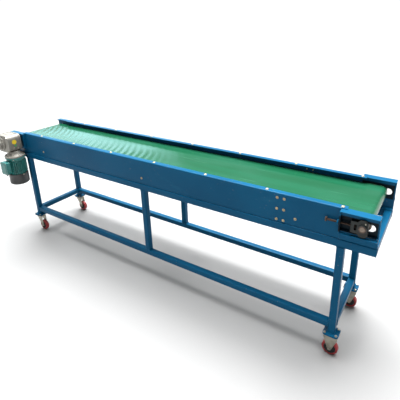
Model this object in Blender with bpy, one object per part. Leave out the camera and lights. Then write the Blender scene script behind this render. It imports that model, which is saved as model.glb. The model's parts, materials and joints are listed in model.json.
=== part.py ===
"""Belt conveyor section: a painted steel stand on casters, a green belt over a slider bed, a
head drum turned by a worm gearmotor, and a tail roller in sliding take-up bearings.

Units are metres, +Z is up and +X runs from the driven head end to the tail end. The conveyor is
laid out about its own centre line, and one empty carries it all, so that the world origin lies on
the floor under the middle of the whole machine.
"""

import math

import bmesh
import bpy
from mathutils import Matrix, Vector

MM = 0.001
GAP = 0.3 * MM  # between faces that touch on the real machine
WELD = 1 * MM  # overlap of two shapes joined into one piece

# Stand
LENGTH = 3000 * MM  # over the ends of the top rails
STAND_WIDTH = 480 * MM  # over the outer faces of the rails
TUBE = 40 * MM
TUBE_WALL = 2 * MM
TUBE_CORNER = 4 * MM
RAIL_HEIGHT = 46 * MM
LEG_SETBACK = 147.5 * MM  # end of a rail to the end leg
RAIL_TO_LOWER_RAIL = 478 * MM  # underside of the top rail to the top of the lower one
LEG_BELOW_RAIL = 34 * MM
PAD_LENGTH = 86 * MM
PAD_WIDTH = 80 * MM
PAD_THICKNESS = 8 * MM
PAD_CORNER = 16 * MM

# Side panels
PANEL_HEIGHT = 172.7 * MM
PANEL_SHEET = 3 * MM
PANEL_INSET = 4 * MM  # web behind the outer face of the rail
LIP_WIDTH = 36 * MM
FOOT_WIDTH = 34 * MM
BEND_RADIUS = 3 * MM
LIP_TONGUE = 27 * MM  # stretch of lip that laps onto each end bracket
LIP_BOLT_INSET = 180 * MM  # tail end of the frame to the first bolt
LIP_BOLT_PITCH = 404 * MM
LIP_BOLT_RADIUS = 8 * MM
LIP_BOLT_RIM = 2.2 * MM
LIP_BOLT_HEIGHT = 5 * MM
LIP_BOLT_SIDES = 12

# End brackets
BRACKET_LENGTH = 181.7 * MM
BRACKET_PLATE = 6 * MM
BRACKET_FLANGE = 5 * MM
TAIL_FLANGE_REACH = 34 * MM  # outwards from the web
HEAD_FLANGE_REACH = 22 * MM
FLANGE_INWARD = 17.5 * MM  # from the web's outer face

# Belt, drum and rollers
BELT_DROP = 38 * MM  # top of the panel to the carrying face of the belt
BELT_EDGE = 2 * MM  # end of the drum to the edge of the belt
BELT_THICKNESS = 2 * MM
DRUM_RADIUS = 30 * MM
DRUM_WALL = 4 * MM
DRUM_END_DISC = 8 * MM
DRUM_END_GAP = 8 * MM  # drum to bracket
SHAFT_RADIUS = 12.5 * MM
SHAFT_RUNNING_GAP = 0.3 * MM
SHAFT_PROUD = 3 * MM  # shaft end beyond the last face it passes
HEAD_SHAFT_SETBACK = 60 * MM  # end of the frame to the drive shaft
TAIL_SHAFT_SETBACK = 72 * MM  # end of the frame to the tail shaft, belt at working tension
BED_SHEET = 2 * MM
BED_SIDE_HEIGHT = 30 * MM
BED_SIDE_GAP = 1 * MM
BED_END_GAP = 12 * MM  # bed edge to the drum
RETURN_RADIUS = 25 * MM
RETURN_WALL = 2.5 * MM
RETURN_END_DISC = 6 * MM
RETURN_END_GAP = 18 * MM  # return roller to panel
RETURN_AXLE_RADIUS = 6 * MM
RETURN_PITCH = 1089 * MM

# Bearings
TAKEUP_NOSE = 55 * MM  # shaft to the end that the bolt enters
TAKEUP_LUG_HEIGHT = 62 * MM
TAKEUP_BODY_HEAD = 22 * MM  # shaft to the step between the lug and the body
TAKEUP_BODY_TAIL = 24 * MM  # shaft to the other end of the body
TAKEUP_HEIGHT = 92 * MM  # of the body
TAKEUP_THICKNESS = 28 * MM
TAKEUP_BOSS_RADIUS = 22 * MM
TAKEUP_BOSS = 5 * MM
TAKEUP_CORNER = 12 * MM
TAKEUP_GROOVE = 9 * MM
TAKEUP_GROOVE_DEPTH = 7 * MM
TAKEUP_WINDOW = 12 * MM  # along the bolt
TAKEUP_WINDOW_HEIGHT = 30 * MM
TAKEUP_WINDOW_WALL = 16 * MM  # end of the housing to the window
GUIDE_THICKNESS = 7 * MM
SLIDE_GAP = 1 * MM
TAKEUP_UNDER = 4.7 * MM  # housing to the bracket's lower flange
TRAVEL_IN = 25 * MM
TRAVEL_OUT = 35 * MM
SLOT_CLEARANCE = 6.5 * MM  # shaft to the edge of the bracket's slot
FLANGE_BEARING_SIDE = 86 * MM
FLANGE_BEARING_CORNER = 18 * MM
FLANGE_BEARING_PLATE = 6 * MM
FLANGE_BEARING_BOSS = 24 * MM
FLANGE_BEARING_BOSS_RADIUS = 30 * MM
HEAD_BORE_CLEARANCE = 9.5 * MM
BOLT_RADIUS = 6 * MM
BOLT_SPARE = 15 * MM  # head to nut when the belt is fully tightened
BOLT_HEAD_ACROSS = 19 * MM
BOLT_HEAD_HEIGHT = 8 * MM
BOLT_CLEARANCE = 0.4 * MM
NUT_ACROSS = 21 * MM
NUT_HEIGHT = 12 * MM

# Worm gearmotor
GEARBOX_CENTRES = 63 * MM
GEARBOX_HEIGHT = 144 * MM
GEARBOX_WIDTH = 112 * MM  # of the housing, along the drive shaft
GEARBOX_HUB_WIDTH = 120 * MM
GEARBOX_FRONT = 40 * MM  # worm's axis to the face beside it
GEARBOX_BACK = 72 * MM
GEARBOX_WALL = 8 * MM
GEARBOX_GAP = 27 * MM  # bracket web to the gearbox hub
GEARBOX_CORNER = 30 * MM
WHEEL_ROOM = 3.6 * MM  # tips of the wheel's teeth to the housing
WORM_ROOM = 2.4 * MM
COVER_RADIUS = 55 * MM
COVER_THICKNESS = 9 * MM
COVER_CHAMFER = 4 * MM
COVER_HUB = 18 * MM  # the hub stands this far out of the cover
HUB_RADIUS = 30 * MM
INPUT_FLANGE_RADIUS = 80 * MM
INPUT_FLANGE_THICKNESS = 12 * MM
INPUT_NECK = 32 * MM
INPUT_CONE_RADIUS = 66 * MM
INPUT_CONE_STEP = 4 * MM
INPUT_NECK_RADIUS = 44 * MM
WHEEL_TEETH = 30
GEAR_MODULE = 3 * MM
WHEEL_FACE = 22 * MM
WORM_TURNS = 3
WORM_BACKLASH = 1.2 * MM
DEDENDUM = 1.2  # root depth below the pitch line, in modules
THREAD_ADDENDUM = 0.9  # thread height above the pitch line, in modules
WORM_STEPS = 16  # stations in each turn of the thread
PRESSURE_ANGLE = math.radians(20)
MOTOR_RADIUS = 66 * MM
FIN_HEIGHT = 11 * MM
FIN_WIDTH = 4 * MM
FIN_COUNT = 28
MOTOR_LENGTH = 158 * MM
MOTOR_WALL = 7 * MM
MOTOR_FLANGE_THICKNESS = 11 * MM
ROTOR_RADIUS = 38 * MM
ROTOR_LENGTH = 90 * MM
ROTOR_SETBACK = 30 * MM  # motor flange to the rotor core
ROTOR_END_GAP = 2 * MM
ROTOR_SHAFT_RADIUS = 9.5 * MM
MOTOR_SHAFT_GAP = 3 * MM
FIN_ROOT = 3 * MM  # the fins start this deep in the frame
FIN_SETBACK = 18 * MM  # ends of the frame's barrel to the fins
FAN_RADIUS = 62 * MM
FAN_DISC = 3 * MM
FAN_HUB_RADIUS = 20 * MM
FAN_HUB_DEPTH = 20 * MM
FAN_GAP = 8 * MM  # motor frame to the fan
FAN_BLADES = 7
BLADE_THICKNESS = 2.4 * MM
BLADE_DEPTH = 28 * MM
FAN_COVER_RADIUS = 78 * MM
FAN_COVER_LENGTH = 84 * MM
FAN_COVER_WALL = 2.5 * MM
FAN_COVER_LAP = 10 * MM  # over the end of the motor frame
FAN_COVER_ROUND = 18 * MM
FAN_COVER_HOLE = 30 * MM
GRILLE_BAR = 8 * MM
TERMINAL_BOX = (88 * MM, 40 * MM, 108 * MM)
TERMINAL_BOX_DROP = 14 * MM
TERMINAL_BOX_CORNER = 8 * MM
GLAND_RADIUS = 10 * MM
GLAND_LENGTH = 16 * MM

# Casters
WHEEL_RADIUS = 45 * MM
HUB_WHEEL_RADIUS = 33 * MM
TREAD_WIDTH = 30 * MM
AXLE_RADIUS = 5 * MM
CASTER_HEIGHT = 146 * MM
FORK_SHEET = 3 * MM
FORK_GAP = 2 * MM  # wheel to fork
FORK_TOP_LENGTH = 76 * MM
FORK_SHOULDER = 28 * MM  # depth of the full-length stretch under the crown
FORK_END_RADIUS = 12 * MM
FORK_END_STEPS = 6
AXLE_PROUD = 5 * MM  # end of the axle beyond the fork
TREAD_ROUND = 5 * MM
HUB_BOSS_RADIUS = 12 * MM
HUB_DISH = 5 * MM  # depth of the hollow in each side of the hub
HUB_RIM = 3 * MM
SWIVEL_TRAIL = 32 * MM
SWIVEL_PLATE = 3 * MM
SWIVEL_RACE_RADIUS = 30 * MM
SWIVEL_RACE = 9 * MM
SWIVEL_RACE_TAPER = 6 * MM
SWIVEL_GAP = 0.5 * MM

ROUND = 32  # sides of a large round face
SMALL_ROUND = 20
ROD_ROUND = 16
TREAD_SIDES = 28
SHARP_EDGE = math.radians(32)

# Levels, from the floor up
LEG_FOOT = CASTER_HEIGHT + PAD_THICKNESS
LOWER_RAIL_BOTTOM = LEG_FOOT + LEG_BELOW_RAIL
LOWER_RAIL_TOP = LOWER_RAIL_BOTTOM + TUBE
RAIL_BOTTOM = LOWER_RAIL_TOP + RAIL_TO_LOWER_RAIL
RAIL_TOP = RAIL_BOTTOM + RAIL_HEIGHT
PANEL_BOTTOM = RAIL_TOP + GAP
PANEL_TOP = RAIL_TOP + PANEL_HEIGHT
BELT_TOP = PANEL_TOP - BELT_DROP
BELT_RADIUS = DRUM_RADIUS + BELT_THICKNESS + GAP
SHAFT_LEVEL = BELT_TOP - BELT_RADIUS
RETURN_LEVEL = SHAFT_LEVEL - BELT_RADIUS - RETURN_RADIUS - GAP
FLANGE_TOP = PANEL_TOP - PANEL_SHEET - GAP
SHELF_TOP = SHAFT_LEVEL - TAKEUP_HEIGHT / 2 - TAKEUP_UNDER
SLOT_HALF_HEIGHT = SHAFT_RADIUS + SLOT_CLEARANCE

# Places across and along the conveyor's own centre line
HALF_LENGTH = LENGTH / 2
HALF_WIDTH = STAND_WIDTH / 2
WEB_OUTER = HALF_WIDTH - PANEL_INSET
PANEL_INNER = WEB_OUTER - PANEL_SHEET
BRACKET_INNER = WEB_OUTER - BRACKET_PLATE
BRACKET_START = HALF_LENGTH - BRACKET_LENGTH
DRUM_LENGTH = 2 * (BRACKET_INNER - DRUM_END_GAP)
BELT_WIDTH = DRUM_LENGTH - 2 * BELT_EDGE
RETURN_LENGTH = 2 * (PANEL_INNER - RETURN_END_GAP)
LEG_OUTER = HALF_LENGTH - LEG_SETBACK
LEG_CENTRE = LEG_OUTER - TUBE / 2
HEAD_SHAFT_X = -(HALF_LENGTH - HEAD_SHAFT_SETBACK)
TAIL_SHAFT_X = HALF_LENGTH - TAIL_SHAFT_SETBACK
TAKEUP_Y = WEB_OUTER + SLIDE_GAP + TAKEUP_THICKNESS / 2
TAKEUP_FACE = TAKEUP_Y + TAKEUP_THICKNESS / 2 + TAKEUP_BOSS
SHAFT_END = TAKEUP_FACE + SHAFT_PROUD
GEARBOX_INNER = WEB_OUTER + GEARBOX_GAP
GEARBOX_Y = -(GEARBOX_INNER + GEARBOX_HUB_WIDTH / 2)
DRIVE_SHAFT_END = GEARBOX_INNER + GEARBOX_HUB_WIDTH + SHAFT_PROUD
WORM_X = HEAD_SHAFT_X + GEARBOX_CENTRES
GEARBOX_BOTTOM = SHAFT_LEVEL - GEARBOX_HEIGHT / 2
MOTOR_TOP = GEARBOX_BOTTOM - INPUT_NECK - INPUT_FLANGE_THICKNESS - GAP
MOTOR_BOTTOM = MOTOR_TOP - MOTOR_LENGTH
FAN_TOP = MOTOR_BOTTOM - FAN_GAP
FAN_COVER_BOTTOM = MOTOR_BOTTOM - FAN_COVER_LENGTH
AXLE_LEVEL = WHEEL_RADIUS * math.cos(math.pi / TREAD_SIDES)
TERMINAL_BOX_FACE = GEARBOX_Y - MOTOR_RADIUS - FIN_HEIGHT - GAP
NEAR_REACH = TERMINAL_BOX[1] - TERMINAL_BOX_FACE
FAR_REACH = SHAFT_END
HEAD_REACH = HALF_LENGTH - HEAD_SHAFT_SETBACK + GEARBOX_BACK
MIDDLE_X = (HALF_LENGTH - HEAD_REACH) / 2
MIDDLE_Y = (FAR_REACH - NEAR_REACH) / 2

NEAR, FAR = -1, 1
HEAD, TAIL = -1, 1
SIDES = {"near": NEAR, "far": FAR}
ENDS = {"head": HEAD, "tail": TAIL}

for leftover in list(bpy.data.objects):
    bpy.data.objects.remove(leftover, do_unlink=True)

carrier = bpy.data.objects.new("conveyor_centre", None)
carrier.location = (-MIDDLE_X, -MIDDLE_Y, 0)
bpy.context.scene.collection.objects.link(carrier)


# Materials


def finish(name, colour, roughness, metallic):
    material = bpy.data.materials.new(name)
    material.use_nodes = True
    shader = material.node_tree.nodes["Principled BSDF"]
    shader.inputs["Base Color"].default_value = (*colour, 1)
    shader.inputs["Roughness"].default_value = roughness
    shader.inputs["Metallic"].default_value = metallic
    return material


BLUE_PAINT = finish("blue_paint", (0.025, 0.15, 0.32), 0.35, 0.0)
BELT_GREEN = finish("belt_green", (0.02, 0.30, 0.12), 0.25, 0.0)
BRIGHT_STEEL = finish("bright_steel", (0.55, 0.55, 0.55), 0.3, 1.0)
ZINC = finish("zinc_plate", (0.60, 0.57, 0.47), 0.4, 1.0)
DARK_IRON = finish("dark_cast_iron", (0.03, 0.045, 0.035), 0.6, 0.3)
CAST_ALUMINIUM = finish("cast_aluminium", (0.50, 0.50, 0.48), 0.5, 0.8)
MOTOR_GREEN = finish("motor_green", (0.02, 0.22, 0.18), 0.4, 0.0)
BLACK_PAINT = finish("black_paint", (0.02, 0.02, 0.02), 0.45, 0.0)
BRONZE = finish("bronze", (0.60, 0.38, 0.14), 0.4, 1.0)
RED_TREAD = finish("red_tread", (0.45, 0.03, 0.03), 0.5, 0.0)
BLACK_PLASTIC = finish("black_plastic", (0.02, 0.02, 0.02), 0.5, 0.0)


# Modelling helpers


def make_object(name, mesh_data, material, centre=(0, 0, 0), helper=False):
    """An object from a bmesh, its origin at centre in the conveyor's own frame."""
    bmesh.ops.remove_doubles(mesh_data, verts=mesh_data.verts, dist=0.001 * MM)
    bmesh.ops.dissolve_degenerate(mesh_data, edges=mesh_data.edges, dist=0.001 * MM)
    bmesh.ops.recalc_face_normals(mesh_data, faces=mesh_data.faces)
    mesh = bpy.data.meshes.new(name)
    mesh_data.to_mesh(mesh)
    mesh_data.free()
    mesh.shade_smooth()
    mesh.set_sharp_from_angle(angle=SHARP_EDGE)
    obj = bpy.data.objects.new(name, mesh)
    obj.location = centre
    obj.parent = carrier
    bpy.context.scene.collection.objects.link(obj)
    if material:
        mesh.materials.append(material)
    if helper:
        obj.hide_render = True
        obj.display_type = "WIRE"
    return obj


def boolean(target, other, operation):
    other.hide_render = True
    other.display_type = "WIRE"
    modifier = target.modifiers.new(f"{operation.lower()}_{len(target.modifiers)}", "BOOLEAN")
    modifier.object = other
    modifier.operation = operation
    modifier.solver = "EXACT"


def cut(target, *others):
    for other in others:
        boolean(target, other, "DIFFERENCE")
    return target


def join(target, *others):
    for other in others:
        boolean(target, other, "UNION")
    return target


AXES = {
    "X": Matrix(((0, 0, 1), (1, 0, 0), (0, 1, 0))),
    "Y": Matrix(((0, 1, 0), (0, 0, 1), (1, 0, 0))),
    "Z": Matrix.Identity(3),
}


def prism(name, outline, axis, low, high, material=None, centre=(0, 0, 0), helper=False, hole=None):
    """An outline extruded along an axis. Its points are (y, z) for X, (z, x) for Y, (x, y) for Z.

    A hole is a second outline with as many points, and it runs right through.
    """
    mesh_data = bmesh.new()
    turn = AXES[axis]
    loops = []
    for points in filter(None, (outline, hole)):
        loops.append([mesh_data.verts.new(turn @ Vector((u, v, low))) for u, v in points])
    if hole:
        outer, inner = loops
        count = len(outer)
        faces = []
        for i in range(count):
            j = (i + 1) % count
            faces.append(mesh_data.faces.new((outer[i], outer[j], inner[j], inner[i])))
    else:
        faces = [mesh_data.faces.new(loops[0])]
    grown = bmesh.ops.extrude_face_region(mesh_data, geom=faces, use_keep_orig=True)
    new_verts = [item for item in grown["geom"] if isinstance(item, bmesh.types.BMVert)]
    bmesh.ops.translate(mesh_data, verts=new_verts, vec=turn @ Vector((0, 0, high - low)))
    return make_object(name, mesh_data, material, centre, helper)


def rectangle(u0, u1, v0, v1):
    return [(u0, v0), (u1, v0), (u1, v1), (u0, v1)]


def rounded_rectangle(u0, u1, v0, v1, radius, steps=2):
    points = []
    corners = ((u1 - radius, v1 - radius), (u0 + radius, v1 - radius))
    corners += ((u0 + radius, v0 + radius), (u1 - radius, v0 + radius))
    for quarter, (u, v) in enumerate(corners):
        for step in range(steps + 1):
            angle = math.pi / 2 * (quarter + step / steps)
            points.append((u + radius * math.cos(angle), v + radius * math.sin(angle)))
    return points


def circle(u, v, radius, sides=SMALL_ROUND):
    turns = (2 * math.pi * i / sides for i in range(sides))
    return [(u + radius * math.cos(turn), v + radius * math.sin(turn)) for turn in turns]


def hexagon(u, v, across):
    return circle(u, v, across / math.sqrt(3), 6)


def slot(u0, u1, v, half_height, sides=SMALL_ROUND):
    """A long hole between two half circles, whose ends reach u0 and u1."""
    points = []
    for centre, start in ((u1 - half_height, -0.5), (u0 + half_height, 0.5)):
        for step in range(sides // 2 + 1):
            angle = math.pi * (start + step / (sides // 2))
            points.append((centre + half_height * math.cos(angle), v + half_height * math.sin(angle)))
    return points


def block(name, x, y, z, material=None, helper=False):
    return prism(name, rectangle(*x, *y), "Z", *z, material, helper=helper)


def turned(name, profile, axis, material=None, centre=(0, 0, 0), sides=ROUND, helper=False):
    """A closed outline of (radius, height) points spun once round the axis."""
    mesh_data = bmesh.new()
    verts = [mesh_data.verts.new((radius, 0, height)) for radius, height in profile]
    edges = [
        mesh_data.edges.new((verts[i], verts[(i + 1) % len(verts)]))
        for i in range(len(verts))
        if profile[i][0] > 0 or profile[(i + 1) % len(verts)][0] > 0
    ]
    bmesh.ops.spin(
        mesh_data, geom=verts + edges, cent=(0, 0, 0), axis=(0, 0, 1), angle=2 * math.pi, steps=sides
    )
    mesh_data.transform(AXES[axis].to_4x4())
    return make_object(name, mesh_data, material, centre, helper)


def solid_rod(radius, low, high):
    return [(0, low), (radius, low), (radius, high), (0, high)]


def filleted(path, radius, steps=3):
    """A path of straight runs whose inner corners are rounded."""
    points = [Vector(path[0])]
    for before, corner, after in zip(path, path[1:], path[2:]):
        corner = Vector(corner)
        back = (Vector(before) - corner).normalized()
        ahead = (Vector(after) - corner).normalized()
        half = back.angle(ahead) / 2
        centre = corner + (back + ahead).normalized() * radius / math.sin(half)
        start = corner + back * radius / math.tan(half) - centre
        sweep = start.angle_signed(corner + ahead * radius / math.tan(half) - centre)
        for step in range(steps + 1):
            points.append(centre + Matrix.Rotation(-sweep * step / steps, 2) @ start)
    points.append(Vector(path[-1]))
    return points


def bent_sheet(path, thickness, radius):
    """The outline of a sheet whose middle follows the path."""
    points = filleted(path, radius)
    left, right = [], []
    for i, point in enumerate(points):
        ahead = (points[min(i + 1, len(points) - 1)] - point).normalized()
        behind = (point - points[max(i - 1, 0)]).normalized()
        along = (ahead + behind).normalized()
        stretch = 1 if i in (0, len(points) - 1) else 1 / max(along.dot(ahead), 0.5)
        normal = Vector((-along.y, along.x)) * thickness / 2 * stretch
        left.append(tuple(point + normal))
        right.append(tuple(point - normal))
    return left + right[::-1]


def mirrored(outline, side):
    """An outline drawn for the far side, with outwards as +Y, set on the side asked for."""
    return [(side * u, v) for u, v in outline]


def tube(name, axis, low, high, u, v, height=TUBE, width=TUBE):
    """A square tube, open at both ends, centred on (u, v)."""
    outer = rounded_rectangle(u - width / 2, u + width / 2, v - height / 2, v + height / 2, TUBE_CORNER)
    inset = TUBE_WALL
    inner = rounded_rectangle(
        u - width / 2 + inset,
        u + width / 2 - inset,
        v - height / 2 + inset,
        v + height / 2 - inset,
        TUBE_CORNER - inset,
    )
    return prism(name, outer, axis, low, high, BLUE_PAINT, hole=inner)


# Stand


def build_stand():
    rail_y = HALF_WIDTH - TUBE / 2
    for side_name, side in SIDES.items():
        tube(
            f"{side_name}_top_rail",
            "X",
            -HALF_LENGTH,
            HALF_LENGTH,
            side * rail_y,
            (RAIL_BOTTOM + RAIL_TOP) / 2,
            height=RAIL_HEIGHT,
        )
        tube(
            f"{side_name}_lower_rail",
            "X",
            -LEG_OUTER + TUBE + GAP,
            LEG_OUTER - TUBE - GAP,
            side * rail_y,
            (LOWER_RAIL_BOTTOM + LOWER_RAIL_TOP) / 2,
        )
        tube(
            f"{side_name}_middle_leg",
            "Z",
            LOWER_RAIL_TOP + GAP,
            RAIL_BOTTOM - GAP,
            0,
            side * rail_y,
        )
        for end_name, end in ENDS.items():
            leg = tube(
                f"{side_name}_{end_name}_leg",
                "Z",
                LEG_FOOT - 1 * MM,
                RAIL_BOTTOM - GAP,
                end * LEG_CENTRE,
                side * rail_y,
            )
            pad = prism(
                f"{side_name}_{end_name}_pad",
                rounded_rectangle(
                    end * LEG_CENTRE - PAD_LENGTH / 2,
                    end * LEG_CENTRE + PAD_LENGTH / 2,
                    side * rail_y - PAD_WIDTH / 2,
                    side * rail_y + PAD_WIDTH / 2,
                    PAD_CORNER,
                    4,
                ),
                "Z",
                CASTER_HEIGHT + GAP,
                LEG_FOOT,
                helper=True,
            )
            join(leg, pad)
    inner = HALF_WIDTH - TUBE - GAP
    for end_name, end in ENDS.items():
        tube(
            f"{end_name}_cross_tube",
            "Y",
            -inner,
            inner,
            (RAIL_BOTTOM + RAIL_TOP) / 2,
            end * (HALF_LENGTH - TUBE / 2),
            height=TUBE,
            width=RAIL_HEIGHT,
        )
        tube(
            f"{end_name}_lower_crossbar",
            "Y",
            -inner,
            inner,
            (LOWER_RAIL_BOTTOM + LOWER_RAIL_TOP) / 2,
            end * LEG_CENTRE,
        )


# Side panels and end brackets


def lip_bolts(side_name, side, web_end):
    """Round bolt heads in a row down the middle of a lip, from the tail bracket's lap onwards."""
    first = HALF_LENGTH - LIP_BOLT_INSET
    count = int((first + web_end) / LIP_BOLT_PITCH) + 1
    profile = [
        (0, -WELD),
        (LIP_BOLT_RADIUS, -WELD),
        (LIP_BOLT_RADIUS, LIP_BOLT_RIM),
        (LIP_BOLT_RADIUS / 2, LIP_BOLT_HEIGHT),
        (0, LIP_BOLT_HEIGHT),
    ]
    bolts = []
    for number in range(count):
        centre = (
            first - number * LIP_BOLT_PITCH,
            side * (WEB_OUTER - LIP_WIDTH / 2),
            PANEL_TOP,
        )
        name = f"{side_name}_lip_bolt_{number}"
        bolts.append(turned(name, profile, "Z", None, centre, LIP_BOLT_SIDES, helper=True))
    return bolts


def build_side_panels():
    middle = WEB_OUTER - PANEL_SHEET / 2
    top = PANEL_TOP - PANEL_SHEET / 2
    bottom = PANEL_BOTTOM + PANEL_SHEET / 2
    path = [
        (WEB_OUTER - LIP_WIDTH, top),
        (middle, top),
        (middle, bottom),
        (WEB_OUTER - FOOT_WIDTH, bottom),
    ]
    outline = bent_sheet(path, PANEL_SHEET, BEND_RADIUS + PANEL_SHEET / 2)
    web_end = BRACKET_START - GAP
    for side_name, side in SIDES.items():
        panel = prism(
            f"{side_name}_side_panel",
            mirrored(outline, side),
            "X",
            -web_end - LIP_TONGUE,
            web_end + LIP_TONGUE,
            BLUE_PAINT,
        )
        for end_name, end in ENDS.items():
            # Everything under the lip ends where the bracket starts.
            notch = block(
                f"{side_name}_{end_name}_panel_notch",
                sorted((end * web_end, end * (web_end + 2 * LIP_TONGUE))),
                sorted((side * (WEB_OUTER - 2 * LIP_WIDTH), side * (WEB_OUTER + PANEL_SHEET))),
                (PANEL_BOTTOM - PANEL_SHEET, PANEL_TOP - PANEL_SHEET),
                helper=True,
            )
            cut(panel, notch)
        join(panel, *lip_bolts(side_name, side, web_end))


def bracket_section(reach):
    """The (y, z) outline of a bracket on the far side: top flange, web, shelf and foot."""
    top = FLANGE_TOP
    shelf = SHELF_TOP
    foot = WEB_OUTER - FOOT_WIDTH
    return [
        (WEB_OUTER - FLANGE_INWARD, top),
        (WEB_OUTER - FLANGE_INWARD, top - BRACKET_FLANGE),
        (BRACKET_INNER, top - BRACKET_FLANGE),
        (BRACKET_INNER, PANEL_BOTTOM + BRACKET_FLANGE),
        (foot, PANEL_BOTTOM + BRACKET_FLANGE),
        (foot, PANEL_BOTTOM),
        (WEB_OUTER, PANEL_BOTTOM),
        (WEB_OUTER, shelf - BRACKET_FLANGE),
        (WEB_OUTER + reach, shelf - BRACKET_FLANGE),
        (WEB_OUTER + reach, shelf),
        (WEB_OUTER, shelf),
        (WEB_OUTER, top - BRACKET_FLANGE),
        (WEB_OUTER + reach, top - BRACKET_FLANGE),
        (WEB_OUTER + reach, top),
    ]


def end_plate(name, side, end, reach):
    """The plate that closes the bracket's channel on the panel's side."""
    inner_face = end * (BRACKET_START + BRACKET_PLATE)
    return block(
        name,
        sorted((end * BRACKET_START, inner_face)),
        sorted((side * BRACKET_INNER, side * (WEB_OUTER + reach))),
        (SHELF_TOP - BRACKET_FLANGE, FLANGE_TOP),
        helper=True,
    )


def build_tail_brackets():
    reach = TAIL_FLANGE_REACH
    slide_half = TAKEUP_HEIGHT / 2 - TAKEUP_GROOVE_DEPTH + SLIDE_GAP
    guide_y = (TAKEUP_Y - GUIDE_THICKNESS / 2, TAKEUP_Y + GUIDE_THICKNESS / 2)
    for side_name, side in SIDES.items():
        bracket = prism(
            f"{side_name}_tail_bracket",
            mirrored(bracket_section(reach), side),
            "X",
            BRACKET_START,
            HALF_LENGTH,
            BLUE_PAINT,
        )
        join(bracket, end_plate(f"{side_name}_tail_end_plate", side, TAIL, reach))
        guides = {
            "top": (SHAFT_LEVEL + slide_half, FLANGE_TOP - BRACKET_FLANGE + WELD),
            "bottom": (SHELF_TOP - WELD, SHAFT_LEVEL - slide_half),
        }
        for guide_name, levels in guides.items():
            guide = block(
                f"{side_name}_{guide_name}_guide",
                (BRACKET_START + WELD, HALF_LENGTH - WELD),
                sorted(side * y for y in guide_y),
                levels,
                helper=True,
            )
            join(bracket, guide)
        nut = prism(
            f"{side_name}_takeup_nut",
            hexagon(side * TAKEUP_Y, SHAFT_LEVEL, NUT_ACROSS),
            "X",
            BRACKET_START - NUT_HEIGHT,
            BRACKET_START + WELD,
            helper=True,
        )
        join(bracket, nut)
        bolt_hole = prism(
            f"{side_name}_takeup_bolt_hole",
            circle(side * TAKEUP_Y, SHAFT_LEVEL, BOLT_RADIUS + BOLT_CLEARANCE, ROD_ROUND),
            "X",
            BRACKET_START - 2 * NUT_HEIGHT,
            BRACKET_START + 2 * BRACKET_PLATE,
            helper=True,
        )
        shaft_slot = prism(
            f"{side_name}_shaft_slot",
            [
                (z, x)
                for x, z in slot(
                    TAIL_SHAFT_X - TRAVEL_IN - SLOT_HALF_HEIGHT,
                    TAIL_SHAFT_X + TRAVEL_OUT + SLOT_HALF_HEIGHT,
                    SHAFT_LEVEL,
                    SLOT_HALF_HEIGHT,
                )
            ],
            "Y",
            *sorted((side * (BRACKET_INNER - BRACKET_PLATE), side * (WEB_OUTER + BRACKET_PLATE))),
            helper=True,
        )
        cut(bracket, bolt_hole, shaft_slot)


def build_head_brackets():
    reach = HEAD_FLANGE_REACH
    for side_name, side in SIDES.items():
        bracket = prism(
            f"{side_name}_head_bracket",
            mirrored(bracket_section(reach), side),
            "X",
            -HALF_LENGTH,
            -BRACKET_START,
            BLUE_PAINT,
        )
        join(bracket, end_plate(f"{side_name}_head_end_plate", side, HEAD, reach))
        shaft_hole = prism(
            f"{side_name}_head_shaft_hole",
            circle(SHAFT_LEVEL, HEAD_SHAFT_X, SHAFT_RADIUS + HEAD_BORE_CLEARANCE),
            "Y",
            *sorted((side * (BRACKET_INNER - BRACKET_PLATE), side * (WEB_OUTER + BRACKET_PLATE))),
            helper=True,
        )
        cut(bracket, shaft_hole)


# Belt, bed, drum and rollers


def build_belt():
    """A closed loop: two flat runs and a half turn round each end."""
    outer, inner = [], []
    steps = ROUND // 2
    for shaft_x, start in ((TAIL_SHAFT_X, 0.5), (HEAD_SHAFT_X, -0.5)):
        for step in range(steps + 1):
            angle = math.pi * (start - step / steps)
            for loop, radius in ((outer, BELT_RADIUS), (inner, BELT_RADIUS - BELT_THICKNESS)):
                x = shaft_x + radius * math.cos(angle)
                z = SHAFT_LEVEL + radius * math.sin(angle)
                loop.append((z, x))
    prism("belt", outer, "Y", -BELT_WIDTH / 2, BELT_WIDTH / 2, BELT_GREEN, hole=inner)


def build_slider_bed():
    top = BELT_TOP - BELT_THICKNESS - GAP - BED_SHEET / 2
    side = PANEL_INNER - BED_SIDE_GAP - BED_SHEET / 2
    path = [(-side, top - BED_SIDE_HEIGHT), (-side, top), (side, top), (side, top - BED_SIDE_HEIGHT)]
    low = HEAD_SHAFT_X + DRUM_RADIUS + BED_END_GAP
    high = min(TAIL_SHAFT_X - TRAVEL_IN - DRUM_RADIUS - BED_END_GAP, BRACKET_START - GAP)
    low = max(low, -BRACKET_START + GAP)
    prism("slider_bed", bent_sheet(path, BED_SHEET, 2 * BED_SHEET), "X", low, high, BRIGHT_STEEL)


def roller_profile(radius, wall, length, disc, bore):
    """A tube with a disc in each end, bored through for its shaft or axle."""
    half = length / 2
    return [
        (bore, -half),
        (radius, -half),
        (radius, half),
        (bore, half),
        (bore, half - disc),
        (radius - wall, half - disc),
        (radius - wall, -half + disc),
        (bore, -half + disc),
    ]


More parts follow.
